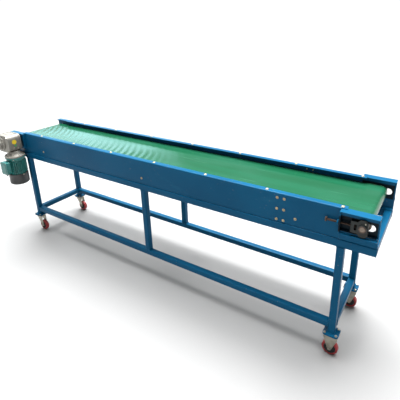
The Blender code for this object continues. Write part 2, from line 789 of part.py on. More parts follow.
def build_drum_and_rollers():
    bore = SHAFT_RADIUS + GAP
    profile = roller_profile(DRUM_RADIUS, DRUM_WALL, DRUM_LENGTH, DRUM_END_DISC, bore)
    head_centre = (HEAD_SHAFT_X, 0, SHAFT_LEVEL)
    tail_centre = (TAIL_SHAFT_X, 0, SHAFT_LEVEL)
    turned("head_drum", profile, "Y", BRIGHT_STEEL, head_centre)
    turned("tail_roller", profile, "Y", BRIGHT_STEEL, tail_centre)
    drive_shaft = solid_rod(SHAFT_RADIUS, -DRIVE_SHAFT_END, FAR_REACH)
    turned("drive_shaft", drive_shaft, "Y", BRIGHT_STEEL, head_centre, SMALL_ROUND)
    tail_shaft = solid_rod(SHAFT_RADIUS, -SHAFT_END, SHAFT_END)
    turned("tail_shaft", tail_shaft, "Y", BRIGHT_STEEL, tail_centre, SMALL_ROUND)
    axle_end = PANEL_INNER - GAP
    for number, place in enumerate(("head", "middle", "tail")):
        centre = ((number - 1) * RETURN_PITCH, 0, RETURN_LEVEL)
        bore = RETURN_AXLE_RADIUS + SHAFT_RUNNING_GAP
        profile = roller_profile(RETURN_RADIUS, RETURN_WALL, RETURN_LENGTH, RETURN_END_DISC, bore)
        turned(f"{place}_return_roller", profile, "Y", BRIGHT_STEEL, centre, SMALL_ROUND)
        axle = solid_rod(RETURN_AXLE_RADIUS, -axle_end, axle_end)
        turned(f"{place}_return_axle", axle, "Y", BRIGHT_STEEL, centre, ROD_ROUND)


# Bearings and take-up


def takeup_outline():
    """A T on its side: the lug that the bolt enters, and the taller body about the shaft."""
    lug = TAKEUP_LUG_HEIGHT / 2
    top = TAKEUP_HEIGHT / 2
    upper = [
        (lug, -TAKEUP_NOSE),
        (lug, -TAKEUP_BODY_HEAD),
        (top - TAKEUP_CORNER, -TAKEUP_BODY_HEAD),
        (top, -TAKEUP_BODY_HEAD + TAKEUP_CORNER),
        (top, TAKEUP_BODY_TAIL - TAKEUP_CORNER),
        (top - TAKEUP_CORNER, TAKEUP_BODY_TAIL),
    ]
    return upper + [(-z, x) for z, x in reversed(upper)]


def build_takeup_bearings():
    """Cast housings with a groove top and bottom for the guides, and a window for the bolt's nut."""
    groove_floor = TAKEUP_HEIGHT / 2 - TAKEUP_GROOVE_DEPTH
    window_x = TAKEUP_NOSE - TAKEUP_WINDOW_WALL
    for side_name, side in SIDES.items():
        centre = (TAIL_SHAFT_X, side * TAKEUP_Y, SHAFT_LEVEL)
        half = TAKEUP_THICKNESS / 2
        name = f"{side_name}_takeup_bearing"
        housing = prism(name, takeup_outline(), "Y", -half, half, DARK_IRON, centre)
        boss_ends = sorted((side * (half - WELD), side * (half + TAKEUP_BOSS)))
        boss = turned(
            f"{side_name}_takeup_boss",
            solid_rod(TAKEUP_BOSS_RADIUS, *boss_ends),
            "Y",
            centre=centre,
            sides=SMALL_ROUND,
            helper=True,
        )
        join(housing, boss)
        for level_name, level in (("top", 1), ("bottom", -1)):
            groove = prism(
                f"{side_name}_{level_name}_groove",
                rectangle(
                    *sorted((level * groove_floor, level * TAKEUP_HEIGHT)),
                    -2 * TAKEUP_NOSE,
                    2 * TAKEUP_NOSE,
                ),
                "Y",
                -TAKEUP_GROOVE / 2,
                TAKEUP_GROOVE / 2,
                centre=centre,
                helper=True,
            )
            cut(housing, groove)
        bore = prism(
            f"{side_name}_takeup_bore",
            circle(0, 0, SHAFT_RADIUS + GAP),
            "Y",
            -2 * TAKEUP_THICKNESS,
            2 * TAKEUP_THICKNESS,
            centre=centre,
            helper=True,
        )
        window = prism(
            f"{side_name}_takeup_window",
            rectangle(
                -TAKEUP_WINDOW_HEIGHT / 2,
                TAKEUP_WINDOW_HEIGHT / 2,
                -window_x,
                -window_x + TAKEUP_WINDOW,
            ),
            "Y",
            -2 * TAKEUP_THICKNESS,
            2 * TAKEUP_THICKNESS,
            centre=centre,
            helper=True,
        )
        bolt_hole = prism(
            f"{side_name}_housing_bolt_hole",
            circle(0, 0, BOLT_RADIUS + BOLT_CLEARANCE, ROD_ROUND),
            "X",
            -2 * TAKEUP_NOSE,
            -window_x + WELD,
            centre=centre,
            helper=True,
        )
        cut(housing, bore, window, bolt_hole)


def build_takeup_bolts():
    """Hexagon bolts whose thread runs through the welded nut and whose end turns in the housing."""
    tip = TAIL_SHAFT_X - TAKEUP_NOSE + TAKEUP_WINDOW_WALL + TAKEUP_WINDOW / 3
    length = tip - (BRACKET_START - NUT_HEIGHT) + TRAVEL_OUT + BOLT_SPARE
    for side_name, side in SIDES.items():
        centre = (tip, side * TAKEUP_Y, SHAFT_LEVEL)
        bolt = turned(
            f"{side_name}_takeup_bolt",
            solid_rod(BOLT_RADIUS, -length, 0),
            "X",
            BRIGHT_STEEL,
            centre,
            ROD_ROUND,
        )
        head = prism(
            f"{side_name}_takeup_bolt_head",
            hexagon(0, 0, BOLT_HEAD_ACROSS),
            "X",
            -length - BOLT_HEAD_HEIGHT,
            -length + WELD,
            centre=centre,
            helper=True,
        )
        join(bolt, head)


def build_head_bearings():
    half = FLANGE_BEARING_SIDE / 2
    for side_name, side in SIDES.items():
        face = WEB_OUTER + GAP
        centre = (HEAD_SHAFT_X, side * face, SHAFT_LEVEL)
        plate = prism(
            f"{side_name}_head_bearing",
            rounded_rectangle(-half, half, -half, half, FLANGE_BEARING_CORNER, 4),
            "Y",
            *sorted((0, side * FLANGE_BEARING_PLATE)),
            DARK_IRON,
            centre,
        )
        boss = turned(
            f"{side_name}_head_bearing_boss",
            solid_rod(FLANGE_BEARING_BOSS_RADIUS, *sorted((side * WELD, side * FLANGE_BEARING_BOSS))),
            "Y",
            centre=centre,
            sides=SMALL_ROUND,
            helper=True,
        )
        bore = prism(
            f"{side_name}_head_bearing_bore",
            circle(0, 0, SHAFT_RADIUS + GAP),
            "Y",
            -2 * FLANGE_BEARING_BOSS,
            2 * FLANGE_BEARING_BOSS,
            centre=centre,
            helper=True,
        )
        join(plate, boss)
        cut(plate, bore)


# Worm gearmotor


def gear_outline(teeth, module, thinning):
    """A spur outline whose teeth are trapezoids about the pitch circle."""
    pitch = teeth * module / 2
    points = []
    half_tooth = math.pi * module / 4 - thinning / 2
    slope = math.tan(PRESSURE_ANGLE)
    root = pitch - DEDENDUM * module
    tip = pitch + module
    for tooth in range(teeth):
        turn = 2 * math.pi * tooth / teeth
        for radius, sign in ((root, -1), (tip, -1), (tip, 1), (root, 1)):
            half = half_tooth - (radius - pitch) * slope
            angle = turn + sign * half / radius
            points.append((radius * math.cos(angle), radius * math.sin(angle)))
    return points


WHEEL_PITCH = WHEEL_TEETH * GEAR_MODULE / 2
WORM_PITCH = GEARBOX_CENTRES - WHEEL_PITCH
WORM_CORE = WORM_PITCH - DEDENDUM * GEAR_MODULE
WORM_LEAD = math.pi * GEAR_MODULE
LEAD_ANGLE = math.atan(WORM_LEAD / (2 * math.pi * WORM_PITCH))


def build_worm_wheel():
    """Bronze wheel, its teeth twisted by the worm's lead angle across the face."""
    mesh_data = bmesh.new()
    outline = gear_outline(WHEEL_TEETH, GEAR_MODULE, WORM_BACKLASH)
    bore = circle(0, 0, SHAFT_RADIUS + GAP, len(outline))
    layers = []
    twist = WHEEL_FACE / 2 * math.tan(LEAD_ANGLE) / WHEEL_PITCH
    for height, turn in ((-WHEEL_FACE / 2, -twist), (WHEEL_FACE / 2, twist)):
        rotation = Matrix.Rotation(turn, 2)
        rings = []
        for loop in (outline, bore):
            rings.append([mesh_data.verts.new((*(rotation @ Vector(p)), height)) for p in loop])
        layers.append(rings)
    count = len(outline)
    for i in range(count):
        j = (i + 1) % count
        for ring in (0, 1):
            low, high = layers[0][ring], layers[1][ring]
            mesh_data.faces.new((low[i], low[j], high[j], high[i]))
        for layer in layers:
            mesh_data.faces.new((layer[0][i], layer[0][j], layer[1][j], layer[1][i]))
    mesh_data.transform(AXES["Y"].to_4x4())
    make_object("worm_wheel", mesh_data, BRONZE, (HEAD_SHAFT_X, GEARBOX_Y, SHAFT_LEVEL))


def worm_thread(name, centre):
    """A helical ridge: one trapezoid section carried round and up the worm."""
    mesh_data = bmesh.new()
    half_tooth = WORM_LEAD / 4 - WORM_BACKLASH / 2
    slope = math.tan(PRESSURE_ANGLE)
    root = WORM_CORE - WELD
    crest = WORM_PITCH + THREAD_ADDENDUM * GEAR_MODULE
    section = [
        (root, -half_tooth - (WORM_PITCH - root) * slope),
        (crest, -half_tooth + (crest - WORM_PITCH) * slope),
        (crest, half_tooth - (crest - WORM_PITCH) * slope),
        (root, half_tooth + (WORM_PITCH - root) * slope),
    ]
    rings = []
    for step in range(WORM_STEPS * WORM_TURNS + 1):
        turns = step / WORM_STEPS - WORM_TURNS / 2
        angle = 2 * math.pi * turns
        # A gap between two wheel teeth faces the worm's middle, and the thread stands in it.
        lift = WORM_LEAD * turns
        rings.append(
            [
                mesh_data.verts.new((-r * math.cos(angle), -r * math.sin(angle), lift + h))
                for r, h in section
            ]
        )
    for low, high in zip(rings, rings[1:]):
        for i in range(4):
            j = (i + 1) % 4
            mesh_data.faces.new((low[i], low[j], high[j], high[i]))
    mesh_data.faces.new(rings[0])
    mesh_data.faces.new(rings[-1])
    return make_object(name, mesh_data, None, centre, helper=True)


def build_rotor():
    """One steel piece: the worm, the motor's shaft and its rotor core."""
    centre = (WORM_X, GEARBOX_Y, SHAFT_LEVEL)
    worm_half = WORM_LEAD * (WORM_TURNS + 2) / 2
    shaft_top = GEARBOX_HEIGHT / 2 - GEARBOX_WALL - ROTOR_END_GAP
    rotor_top = MOTOR_TOP - SHAFT_LEVEL - ROTOR_SETBACK
    rotor_bottom = rotor_top - ROTOR_LENGTH
    shaft_bottom = FAN_TOP - FAN_HUB_DEPTH - SHAFT_PROUD - SHAFT_LEVEL
    profile = [
        (0, shaft_bottom),
        (ROTOR_SHAFT_RADIUS, shaft_bottom),
        (ROTOR_SHAFT_RADIUS, rotor_bottom),
        (ROTOR_RADIUS, rotor_bottom),
        (ROTOR_RADIUS, rotor_top),
        (ROTOR_SHAFT_RADIUS, rotor_top),
        (ROTOR_SHAFT_RADIUS, -worm_half),
        (WORM_CORE, -worm_half),
        (WORM_CORE, worm_half),
        (ROTOR_SHAFT_RADIUS, worm_half),
        (ROTOR_SHAFT_RADIUS, shaft_top),
        (0, shaft_top),
    ]
    rotor = turned("worm_and_rotor", profile, "Z", BRIGHT_STEEL, centre, SMALL_ROUND)
    join(rotor, worm_thread("worm_thread", centre))


def build_gearbox():
    """Cast housing, hollow and open on its outer side, where the round cover closes it."""
    centre = (HEAD_SHAFT_X, GEARBOX_Y, SHAFT_LEVEL)
    half_width = GEARBOX_WIDTH / 2
    half_hub = GEARBOX_HUB_WIDTH / 2
    half_height = GEARBOX_HEIGHT / 2
    wall = GEARBOX_WALL
    front = GEARBOX_CENTRES + GEARBOX_FRONT
    outline = rounded_rectangle(-half_height, half_height, -GEARBOX_BACK, front, GEARBOX_CORNER, 4)
    housing = prism("gearbox_housing", outline, "Y", -half_width, half_width, CAST_ALUMINIUM, centre)
    flange_low = -half_height - INPUT_NECK - INPUT_FLANGE_THICKNESS
    neck_profile = [
        (0, flange_low),
        (INPUT_FLANGE_RADIUS, flange_low),
        (INPUT_FLANGE_RADIUS, -half_height - INPUT_NECK),
        (INPUT_CONE_RADIUS, -half_height - INPUT_NECK + INPUT_CONE_STEP),
        (INPUT_NECK_RADIUS, -half_height + WELD),
        (0, -half_height + WELD),
    ]
    worm_centre = (WORM_X, GEARBOX_Y, SHAFT_LEVEL)
    neck = turned("gearbox_neck", neck_profile, "Z", centre=worm_centre, helper=True)
    hub = turned(
        "gearbox_inner_hub",
        solid_rod(HUB_RADIUS, half_width - WELD, half_hub),
        "Y",
        centre=centre,
        sides=SMALL_ROUND,
        helper=True,
    )
    join(housing, neck, hub)
    wheel_room = prism(
        "gearbox_wheel_room",
        circle(0, 0, WHEEL_PITCH + GEAR_MODULE + WHEEL_ROOM, ROUND),
        "Y",
        -2 * half_width,
        half_width - wall,
        centre=centre,
        helper=True,
    )
    worm_room = turned(
        "gearbox_worm_room",
        solid_rod(WORM_PITCH + GEAR_MODULE + WORM_ROOM, 2 * flange_low, half_height - wall),
        "Z",
        centre=worm_centre,
        sides=SMALL_ROUND,
        helper=True,
    )
    shaft_bore = prism(
        "gearbox_shaft_bore",
        circle(0, 0, SHAFT_RADIUS + GAP),
        "Y",
        0,
        2 * half_hub,
        centre=centre,
        helper=True,
    )
    cut(housing, wheel_room, worm_room, shaft_bore)
    seat = -half_width - GAP
    face = seat - COVER_THICKNESS
    hub_end = face - COVER_HUB
    cover_profile = [
        (SHAFT_RADIUS + GAP, seat),
        (COVER_RADIUS, seat),
        (COVER_RADIUS, face + COVER_CHAMFER),
        (COVER_RADIUS - COVER_CHAMFER, face),
        (HUB_RADIUS + COVER_CHAMFER, face),
        (HUB_RADIUS, face - COVER_CHAMFER),
        (HUB_RADIUS, hub_end + COVER_CHAMFER),
        (HUB_RADIUS - COVER_CHAMFER, hub_end),
        (SHAFT_RADIUS + GAP, hub_end),
    ]
    turned("gearbox_cover", cover_profile, "Y", CAST_ALUMINIUM, centre)


def build_motor():
    centre = (WORM_X, GEARBOX_Y, 0)
    bore = MOTOR_RADIUS - MOTOR_WALL
    foot = MOTOR_TOP - MOTOR_FLANGE_THICKNESS
    shaft_hole = ROTOR_SHAFT_RADIUS + MOTOR_SHAFT_GAP
    profile = [
        (shaft_hole, MOTOR_TOP),
        (shaft_hole, foot),
        (bore, foot),
        (bore, MOTOR_BOTTOM),
        (MOTOR_RADIUS, MOTOR_BOTTOM),
        (MOTOR_RADIUS, foot - WELD),
        (INPUT_FLANGE_RADIUS, foot - WELD),
        (INPUT_FLANGE_RADIUS, MOTOR_TOP),
    ]
    frame = turned("motor_frame", profile, "Z", MOTOR_GREEN, centre)
    join(frame, motor_fins(centre, foot))
    build_fan_cover(centre)
    build_fan(centre)
    build_terminal_box(foot - TERMINAL_BOX_DROP)


def motor_fins(centre, foot):
    """Straight ribs round the barrel, all of them in one mesh."""
    mesh_data = bmesh.new()
    length = foot - MOTOR_BOTTOM - 2 * FIN_SETBACK
    reach = MOTOR_RADIUS + (FIN_HEIGHT - FIN_ROOT) / 2
    for fin in range(FIN_COUNT):
        angle = 2 * math.pi * (fin + 0.5) / FIN_COUNT
        made = bmesh.ops.create_cube(mesh_data, size=1)
        size = Matrix.Diagonal((FIN_HEIGHT + FIN_ROOT, FIN_WIDTH, length, 1))
        shift = Matrix.Translation((reach, 0, (foot + MOTOR_BOTTOM) / 2))
        place = Matrix.Rotation(angle, 4, "Z") @ shift @ size
        bmesh.ops.transform(mesh_data, matrix=place, verts=made["verts"])
    return make_object("motor_fins", mesh_data, None, centre, helper=True)


def build_fan_cover(centre):
    """A pressed cap with a rounded rim and a round air inlet behind one bar."""
    low = FAN_COVER_BOTTOM
    outer = FAN_COVER_RADIUS
    inner = outer - FAN_COVER_WALL
    mouth = MOTOR_BOTTOM + FAN_COVER_LAP
    shoulder = FAN_COVER_ROUND * (1 - math.sqrt(0.5))
    profile = [
        (inner, mouth),
        (inner, low + FAN_COVER_ROUND),
        (inner - shoulder, low + FAN_COVER_WALL + shoulder),
        (outer - FAN_COVER_ROUND, low + FAN_COVER_WALL),
        (FAN_COVER_HOLE, low + FAN_COVER_WALL),
        (FAN_COVER_HOLE, low),
        (outer - FAN_COVER_ROUND, low),
        (outer - shoulder, low + shoulder),
        (outer, low + FAN_COVER_ROUND),
        (outer, mouth),
    ]
    cover = turned("fan_cover", profile, "Z", BLACK_PAINT, centre)
    reach = FAN_COVER_HOLE + GRILLE_BAR / 2
    bar = prism(
        "fan_grille_bar",
        rectangle(-reach, reach, -GRILLE_BAR / 2, GRILLE_BAR / 2),
        "Z",
        low,
        low + FAN_COVER_WALL,
        centre=centre,
        helper=True,
    )
    join(cover, bar)


def build_fan(centre):
    """A disc and hub with straight blades below it, clamped on the rotor's shaft."""
    bore = ROTOR_SHAFT_RADIUS + GAP
    profile = [
        (bore, FAN_TOP - FAN_HUB_DEPTH),
        (FAN_HUB_RADIUS, FAN_TOP - FAN_HUB_DEPTH),
        (FAN_HUB_RADIUS, FAN_TOP - FAN_DISC),
        (FAN_RADIUS, FAN_TOP - FAN_DISC),
        (FAN_RADIUS, FAN_TOP),
        (bore, FAN_TOP),
    ]
    fan = turned("motor_fan", profile, "Z", BLACK_PLASTIC, centre, SMALL_ROUND)
    half = BLADE_THICKNESS / 2
    for blade in range(FAN_BLADES):
        vane = prism(
            f"fan_blade_{blade}",
            rectangle(FAN_HUB_RADIUS - 2 * WELD, FAN_RADIUS - 2 * WELD, -half, half),
            "Z",
            FAN_TOP - BLADE_DEPTH,
            FAN_TOP - WELD,
            centre=centre,
            helper=True,
        )
        vane.rotation_euler = (0, 0, 2 * math.pi * blade / FAN_BLADES)
        join(fan, vane)


def build_terminal_box(top):
    box_x, box_y, box_z = TERMINAL_BOX
    low_x = WORM_X - box_x / 2
    low_y = TERMINAL_BOX_FACE - box_y
    box = prism(
        "terminal_box",
        rounded_rectangle(low_x, low_x + box_x, low_y, low_y + box_y, TERMINAL_BOX_CORNER),
        "Z",
        top - box_z,
        top,
        MOTOR_GREEN,
    )
    gland = turned(
        "terminal_box_gland",
        solid_rod(GLAND_RADIUS, -GLAND_LENGTH, WELD),
        "Z",
        centre=(WORM_X, low_y + box_y / 2, top - box_z),
        sides=SMALL_ROUND,
        helper=True,
    )
    join(box, gland)


# Casters


def fork_cheek(name, side, trail, centre, top):
    """One cheek of the fork: wide under the crown, then tapered, and round about the axle.

    A trailing fork has no shoulder on its leading edge, which runs straight down to the axle.
    """
    axle_z = AXLE_LEVEL - CASTER_HEIGHT
    half_top = FORK_TOP_LENGTH / 2
    shoulder = top - FORK_SHOULDER
    points = [(top, -half_top), (top, half_top), (shoulder, half_top)]
    for step in range(FORK_END_STEPS + 1):
        angle = math.pi * (0.5 - step / FORK_END_STEPS)
        z = axle_z - FORK_END_RADIUS * math.cos(angle)
        points.append((z, trail + FORK_END_RADIUS * math.sin(angle)))
    if not trail:
        points.append((shoulder, -half_top))
    inner = TREAD_WIDTH / 2 + FORK_GAP
    ends = sorted((side * inner, side * (inner + FORK_SHEET)))
    return prism(name, points, "Y", *ends, centre=centre, helper=True)


def build_caster(place, end, side):
    """A rigid caster at the tail, a swivel one at the head, its wheel trailing towards the tail."""
    swivels = end == HEAD
    trail = SWIVEL_TRAIL if swivels else 0
    x = end * LEG_CENTRE
    y = side * (HALF_WIDTH - TUBE / 2)
    centre = (x, y, CASTER_HEIGHT)
    half_width = TREAD_WIDTH / 2 + FORK_GAP + FORK_SHEET
    plate_outline = rounded_rectangle(
        -PAD_LENGTH / 2, PAD_LENGTH / 2, -PAD_WIDTH / 2, PAD_WIDTH / 2, PAD_CORNER, 4
    )
    crown_top = -SWIVEL_PLATE - SWIVEL_RACE - SWIVEL_GAP if swivels else 0
    crown = prism(
        f"{place}_fork",
        rectangle(-FORK_TOP_LENGTH / 2, FORK_TOP_LENGTH / 2, -half_width, half_width),
        "Z",
        crown_top - FORK_SHEET,
        crown_top,
        ZINC,
        centre,
    )
    for cheek_name, cheek_side in SIDES.items():
        cheek = fork_cheek(f"{place}_{cheek_name}_cheek", cheek_side, trail, centre, crown_top)
        join(crown, cheek)
    if swivels:
        build_swivel_plate(place, plate_outline, centre)
    else:
        name = f"{place}_fixed_plate"
        join(crown, prism(name, plate_outline, "Z", -FORK_SHEET, 0, centre=centre, helper=True))
    wheel_centre = (x + trail, y, AXLE_LEVEL)
    axle = turned(
        f"{place}_axle",
        solid_rod(AXLE_RADIUS, -half_width - AXLE_PROUD, half_width + AXLE_PROUD),
        "Y",
        centre=wheel_centre,
        sides=ROD_ROUND,
        helper=True,
    )
    join(crown, axle)
    build_wheel(place, wheel_centre)


def build_swivel_plate(place, outline, centre):
    """The plate bolted to the stand, with the round race that the fork turns under."""
    race_bottom = -SWIVEL_PLATE - SWIVEL_RACE
    profile = [
        (0, 0),
        (0, race_bottom),
        (SWIVEL_RACE_RADIUS - SWIVEL_RACE_TAPER, race_bottom),
        (SWIVEL_RACE_RADIUS, -SWIVEL_PLATE - 2 * WELD),
        (SWIVEL_RACE_RADIUS, 0),
    ]
    plate = prism(f"{place}_swivel_plate", outline, "Z", -SWIVEL_PLATE, 0, ZINC, centre)
    race = turned(f"{place}_race", profile, "Z", centre=centre, sides=SMALL_ROUND, helper=True)
    join(plate, race)


def build_wheel(place, centre):
    """A red tread round a black hub, whose sides are dished."""
    half = TREAD_WIDTH / 2
    bore = HUB_WHEEL_RADIUS + GAP
    tread = [
        (bore, -half),
        (WHEEL_RADIUS - TREAD_ROUND, -half),
        (WHEEL_RADIUS, -half + TREAD_ROUND),
        (WHEEL_RADIUS, half - TREAD_ROUND),
        (WHEEL_RADIUS - TREAD_ROUND, half),
        (bore, half),
    ]
    tyre = turned(f"{place}_wheel_tread", tread, "Y", RED_TREAD, centre, TREAD_SIDES)
    tyre.rotation_euler = (0, math.pi / TREAD_SIDES, 0)
    bore = AXLE_RADIUS + SHAFT_RUNNING_GAP
    rim = half - HUB_RIM / 3
    hub = [
        (bore, -half),
        (HUB_BOSS_RADIUS, -half),
        (HUB_BOSS_RADIUS + HUB_RIM / 2, -half + HUB_DISH),
        (HUB_WHEEL_RADIUS - HUB_RIM, -half + HUB_DISH),
        (HUB_WHEEL_RADIUS, -rim),
        (HUB_WHEEL_RADIUS, rim),
        (HUB_WHEEL_RADIUS - HUB_RIM, half - HUB_DISH),
        (HUB_BOSS_RADIUS + HUB_RIM / 2, half - HUB_DISH),
        (HUB_BOSS_RADIUS, half),
        (bore, half),
    ]
    turned(f"{place}_wheel_hub", hub, "Y", BLACK_PLASTIC, centre, SMALL_ROUND)


build_stand()
build_side_panels()
build_tail_brackets()
build_head_brackets()
build_belt()
build_slider_bed()
build_drum_and_rollers()
build_takeup_bearings()
build_takeup_bolts()
build_head_bearings()
build_worm_wheel()
build_rotor()
build_gearbox()
build_motor()
for side_name, side in SIDES.items():
    for end_name, end in ENDS.items():
        build_caster(f"{side_name}_{end_name}", end, side)
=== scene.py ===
# %% [markdown]
# # A belt conveyor section, piece by piece
# The frame is the engineering model: every tube, bearing, wheel and gear in its real place. This lesson
# gives that model its looks. Straight tubes, folded sheet, turned parts and castings are each a formula
# worked out with numpy, and every surface gets a finish made from nodes.

# %% Load the frame
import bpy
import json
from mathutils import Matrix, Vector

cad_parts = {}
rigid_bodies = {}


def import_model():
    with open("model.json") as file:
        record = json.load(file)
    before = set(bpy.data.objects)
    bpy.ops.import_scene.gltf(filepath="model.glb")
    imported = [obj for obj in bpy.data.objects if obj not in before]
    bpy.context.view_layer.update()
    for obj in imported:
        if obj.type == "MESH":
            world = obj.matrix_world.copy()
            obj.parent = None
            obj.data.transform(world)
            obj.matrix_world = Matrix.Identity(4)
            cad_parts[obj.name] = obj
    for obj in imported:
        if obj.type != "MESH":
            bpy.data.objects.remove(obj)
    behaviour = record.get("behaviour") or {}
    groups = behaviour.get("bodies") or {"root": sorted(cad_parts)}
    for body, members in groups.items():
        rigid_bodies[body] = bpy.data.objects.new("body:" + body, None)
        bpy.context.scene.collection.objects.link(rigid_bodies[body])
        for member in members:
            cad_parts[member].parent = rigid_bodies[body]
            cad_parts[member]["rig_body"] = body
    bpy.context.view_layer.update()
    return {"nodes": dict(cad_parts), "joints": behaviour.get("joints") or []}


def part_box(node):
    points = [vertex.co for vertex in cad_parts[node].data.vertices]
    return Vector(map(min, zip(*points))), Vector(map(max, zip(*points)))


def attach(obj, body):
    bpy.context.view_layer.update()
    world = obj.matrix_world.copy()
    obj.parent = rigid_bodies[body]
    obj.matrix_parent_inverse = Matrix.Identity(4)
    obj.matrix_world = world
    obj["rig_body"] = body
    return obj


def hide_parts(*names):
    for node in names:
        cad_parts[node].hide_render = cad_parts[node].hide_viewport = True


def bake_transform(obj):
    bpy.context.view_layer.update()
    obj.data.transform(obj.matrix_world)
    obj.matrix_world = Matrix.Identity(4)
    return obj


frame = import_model()

import json
import math

import bmesh
import bpy
import numpy as np
from mathutils import Matrix, Vector

MM = 0.001
joints = {joint["name"]: joint for joint in frame["joints"]}

# %% [markdown]
# Positions come from the frame, so that a piece always sits where the engineering model says. Two small
# readers are enough: the corners of a node's box, and the point that a joint turns about.


# %% Read places from the frame
def corners(node):
    """The lowest and highest corner of a node, as two arrays."""
    low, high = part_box(node)
    return np.array(low), np.array(high)


def middle(node):
    """The middle of a node's box: half the sum of its corners."""
    return sum(corners(node)) / 2


def pivot(joint):
    return np.array(joints[joint]["pos_m"], float)


SIDES = {"near": -1, "far": 1}
ENDS = {"head": -1, "tail": 1}
rail_low, rail_high = corners("near_top_rail")
centre_y = (corners("near_top_rail")[0][1] + corners("far_top_rail")[1][1]) / 2
frame_head, frame_tail = rail_low[0], rail_high[0]
PANEL_SHEET = 3 * MM
LAP_GAP = 0.3 * MM
panel_top = corners("near_head_bracket")[1][2] + LAP_GAP + PANEL_SHEET
web = {side: corners(f"{side}_side_panel")[0 if sign < 0 else 1][1] for side, sign in SIDES.items()}
print("frame", round(frame_tail - frame_head, 3), "m long, panel top at", round(panel_top, 4))

# %% [markdown]
# ## Surfaces from formulas
# A surface here is three things: points, four-sided faces that name them, and caps with many sides. A grid
# of points needs only one rule for its faces, so one function serves tubes, turned parts and threads.


# %% Grids
def grid_faces(rows, columns, wrap_rows=False, wrap_columns=True):
    """Faces of a grid numbered row by row: (i, j), (i, j+1), (i+1, j+1), (i+1, j), wrapping where asked."""
    i, j = np.meshgrid(
        np.arange(rows if wrap_rows else rows - 1),
        np.arange(columns if wrap_columns else columns - 1),
        indexing="ij",
    )
    i_next, j_next = (i + 1) % rows, (j + 1) % columns
    faces = [i * columns + j, i * columns + j_next, i_next * columns + j_next, i_next * columns + j]
    return np.stack(faces, -1).reshape(-1, 4)


def together(surfaces):
    """Several surfaces as one: points in a row, and each face's numbers moved on by the points before."""
    starts = np.cumsum([0] + [len(points) for points, _, _ in surfaces])
    points = np.concatenate([points for points, _, _ in surfaces])
    faces = np.concatenate([faces + start for (_, faces, _), start in zip(surfaces, starts)])
    caps = [cap + start for (_, _, caps), start in zip(surfaces, starts) for cap in caps]
    return points, faces, caps


# %% [markdown]
# Each local shape is drawn with two coordinates across and one along an axis. The table below turns them
# to X, Y or Z: along X the first two are Y and Z, along Y they are Z and X, along Z they are X and Y.

# %% Outlines, turned shapes and extrusions
AXES = {"X": np.eye(3)[[1, 2, 0]], "Y": np.eye(3)[[2, 0, 1]], "Z": np.eye(3)}


def rounded(points, setback, steps=3, closed=True):
    """Corners cut by curves: from setback before a corner P to setback after it runs the parabola
    (1-s)^2 A + 2 s (1-s) P + s^2 B. The setback never passes half of an edge."""
    p = np.asarray(points, float)
    before, after = np.roll(p, 1, 0) - p, np.roll(p, -1, 0) - p
    before_length = np.linalg.norm(before, axis=1)
    after_length = np.linalg.norm(after, axis=1)
    reach = np.minimum(np.broadcast_to(setback, len(p)), 0.49 * np.minimum(before_length, after_length))
    start = p + before * (reach / before_length)[:, None]
    end = p + after * (reach / after_length)[:, None]
    s = np.linspace(0, 1, steps + 1)[None, :, None]
    arcs = (1 - s) ** 2 * start[:, None] + 2 * s * (1 - s) * p[:, None] + s**2 * end[:, None]
    if not closed:
        arcs[0], arcs[-1] = p[0], p[-1]
    return arcs.reshape(-1, p.shape[1])


def box_outline(width, height, setback=0.0, steps=3, centre=(0, 0)):
    """A rectangle about a centre, corners cut."""
    signs = np.array([(1, 1), (-1, 1), (-1, -1), (1, -1)])
    return rounded(signs * (width / 2, height / 2) + np.asarray(centre), setback, steps)


def circle_outline(radius, sides=48, centre=(0, 0)):
    """Points (r cos t, r sin t) for t round the circle."""
    t = np.linspace(0, 2 * np.pi, sides, endpoint=False)
    return np.stack([radius * np.cos(t), radius * np.sin(t)], -1) + np.asarray(centre)


def turned(profile, axis, centre=(0, 0, 0), sides=56, closed=False):
    """A profile of (radius, height) spun round an axis: (r cos t, r sin t, h). An open one ends on it."""
    radius, height = np.asarray(profile, float).T
    t = np.linspace(0, 2 * np.pi, sides, endpoint=False)[:, None]
    local = np.stack([radius * np.cos(t), radius * np.sin(t), height + 0 * t], -1).reshape(-1, 3)
    return local @ AXES[axis] + centre, grid_faces(sides, len(radius), True, closed), []


def extruded(outline, axis, low, high, centre=(0, 0, 0)):
    """An outline (a, b) carried straight from low to high, with a cap at each end."""
    count = len(outline)
    levels = np.repeat((low, high), count)[:, None]
    local = np.hstack([np.tile(outline, (2, 1)), levels])
    ring = np.arange(count)
    return local @ AXES[axis] + centre, grid_faces(2, count), [ring, ring + count]


def pipe(outer, inner, axis, low, high, centre=(0, 0, 0)):
    """A hollow length: the outer outline from low to high, then the inner one back, which closes the ring."""
    loops = [(outer, low), (outer, high), (inner, high), (inner, low)]
    local = np.concatenate([np.hstack([loop, np.full((len(loop), 1), level)]) for loop, level in loops])
    return local @ AXES[axis] + centre, grid_faces(4, len(outer), True, True), []


def carried(profile, path, up, swell=1.0, closed=True):
    """A closed profile (a, b) carried along a path: path + swell (a side + b up), side = along x up."""
    path = np.asarray(path, float)
    along = np.roll(path, -1, 0) - np.roll(path, 1, 0) if closed else np.gradient(path, axis=0)
    side = np.cross(along, up)
    side /= np.linalg.norm(side, axis=1)[:, None]
    a, b = np.asarray(profile, float).T[:, None, :, None]
    size = np.broadcast_to(swell, len(path))[:, None, None]
    points = path[:, None] + size * (a * side[:, None] + b * np.asarray(up, float))
    ends = [] if closed else [np.arange(a.size), np.arange(a.size) + a.size * (len(path) - 1)]
    return points.reshape(-1, 3), grid_faces(len(path), a.size, closed, True), ends


# %% [markdown]
# The last step of every new piece is the same: doubled points at poles are merged, faces are turned to
# point outwards, edges sharper than an angle stay crisp, and the piece is told which body it rides on.


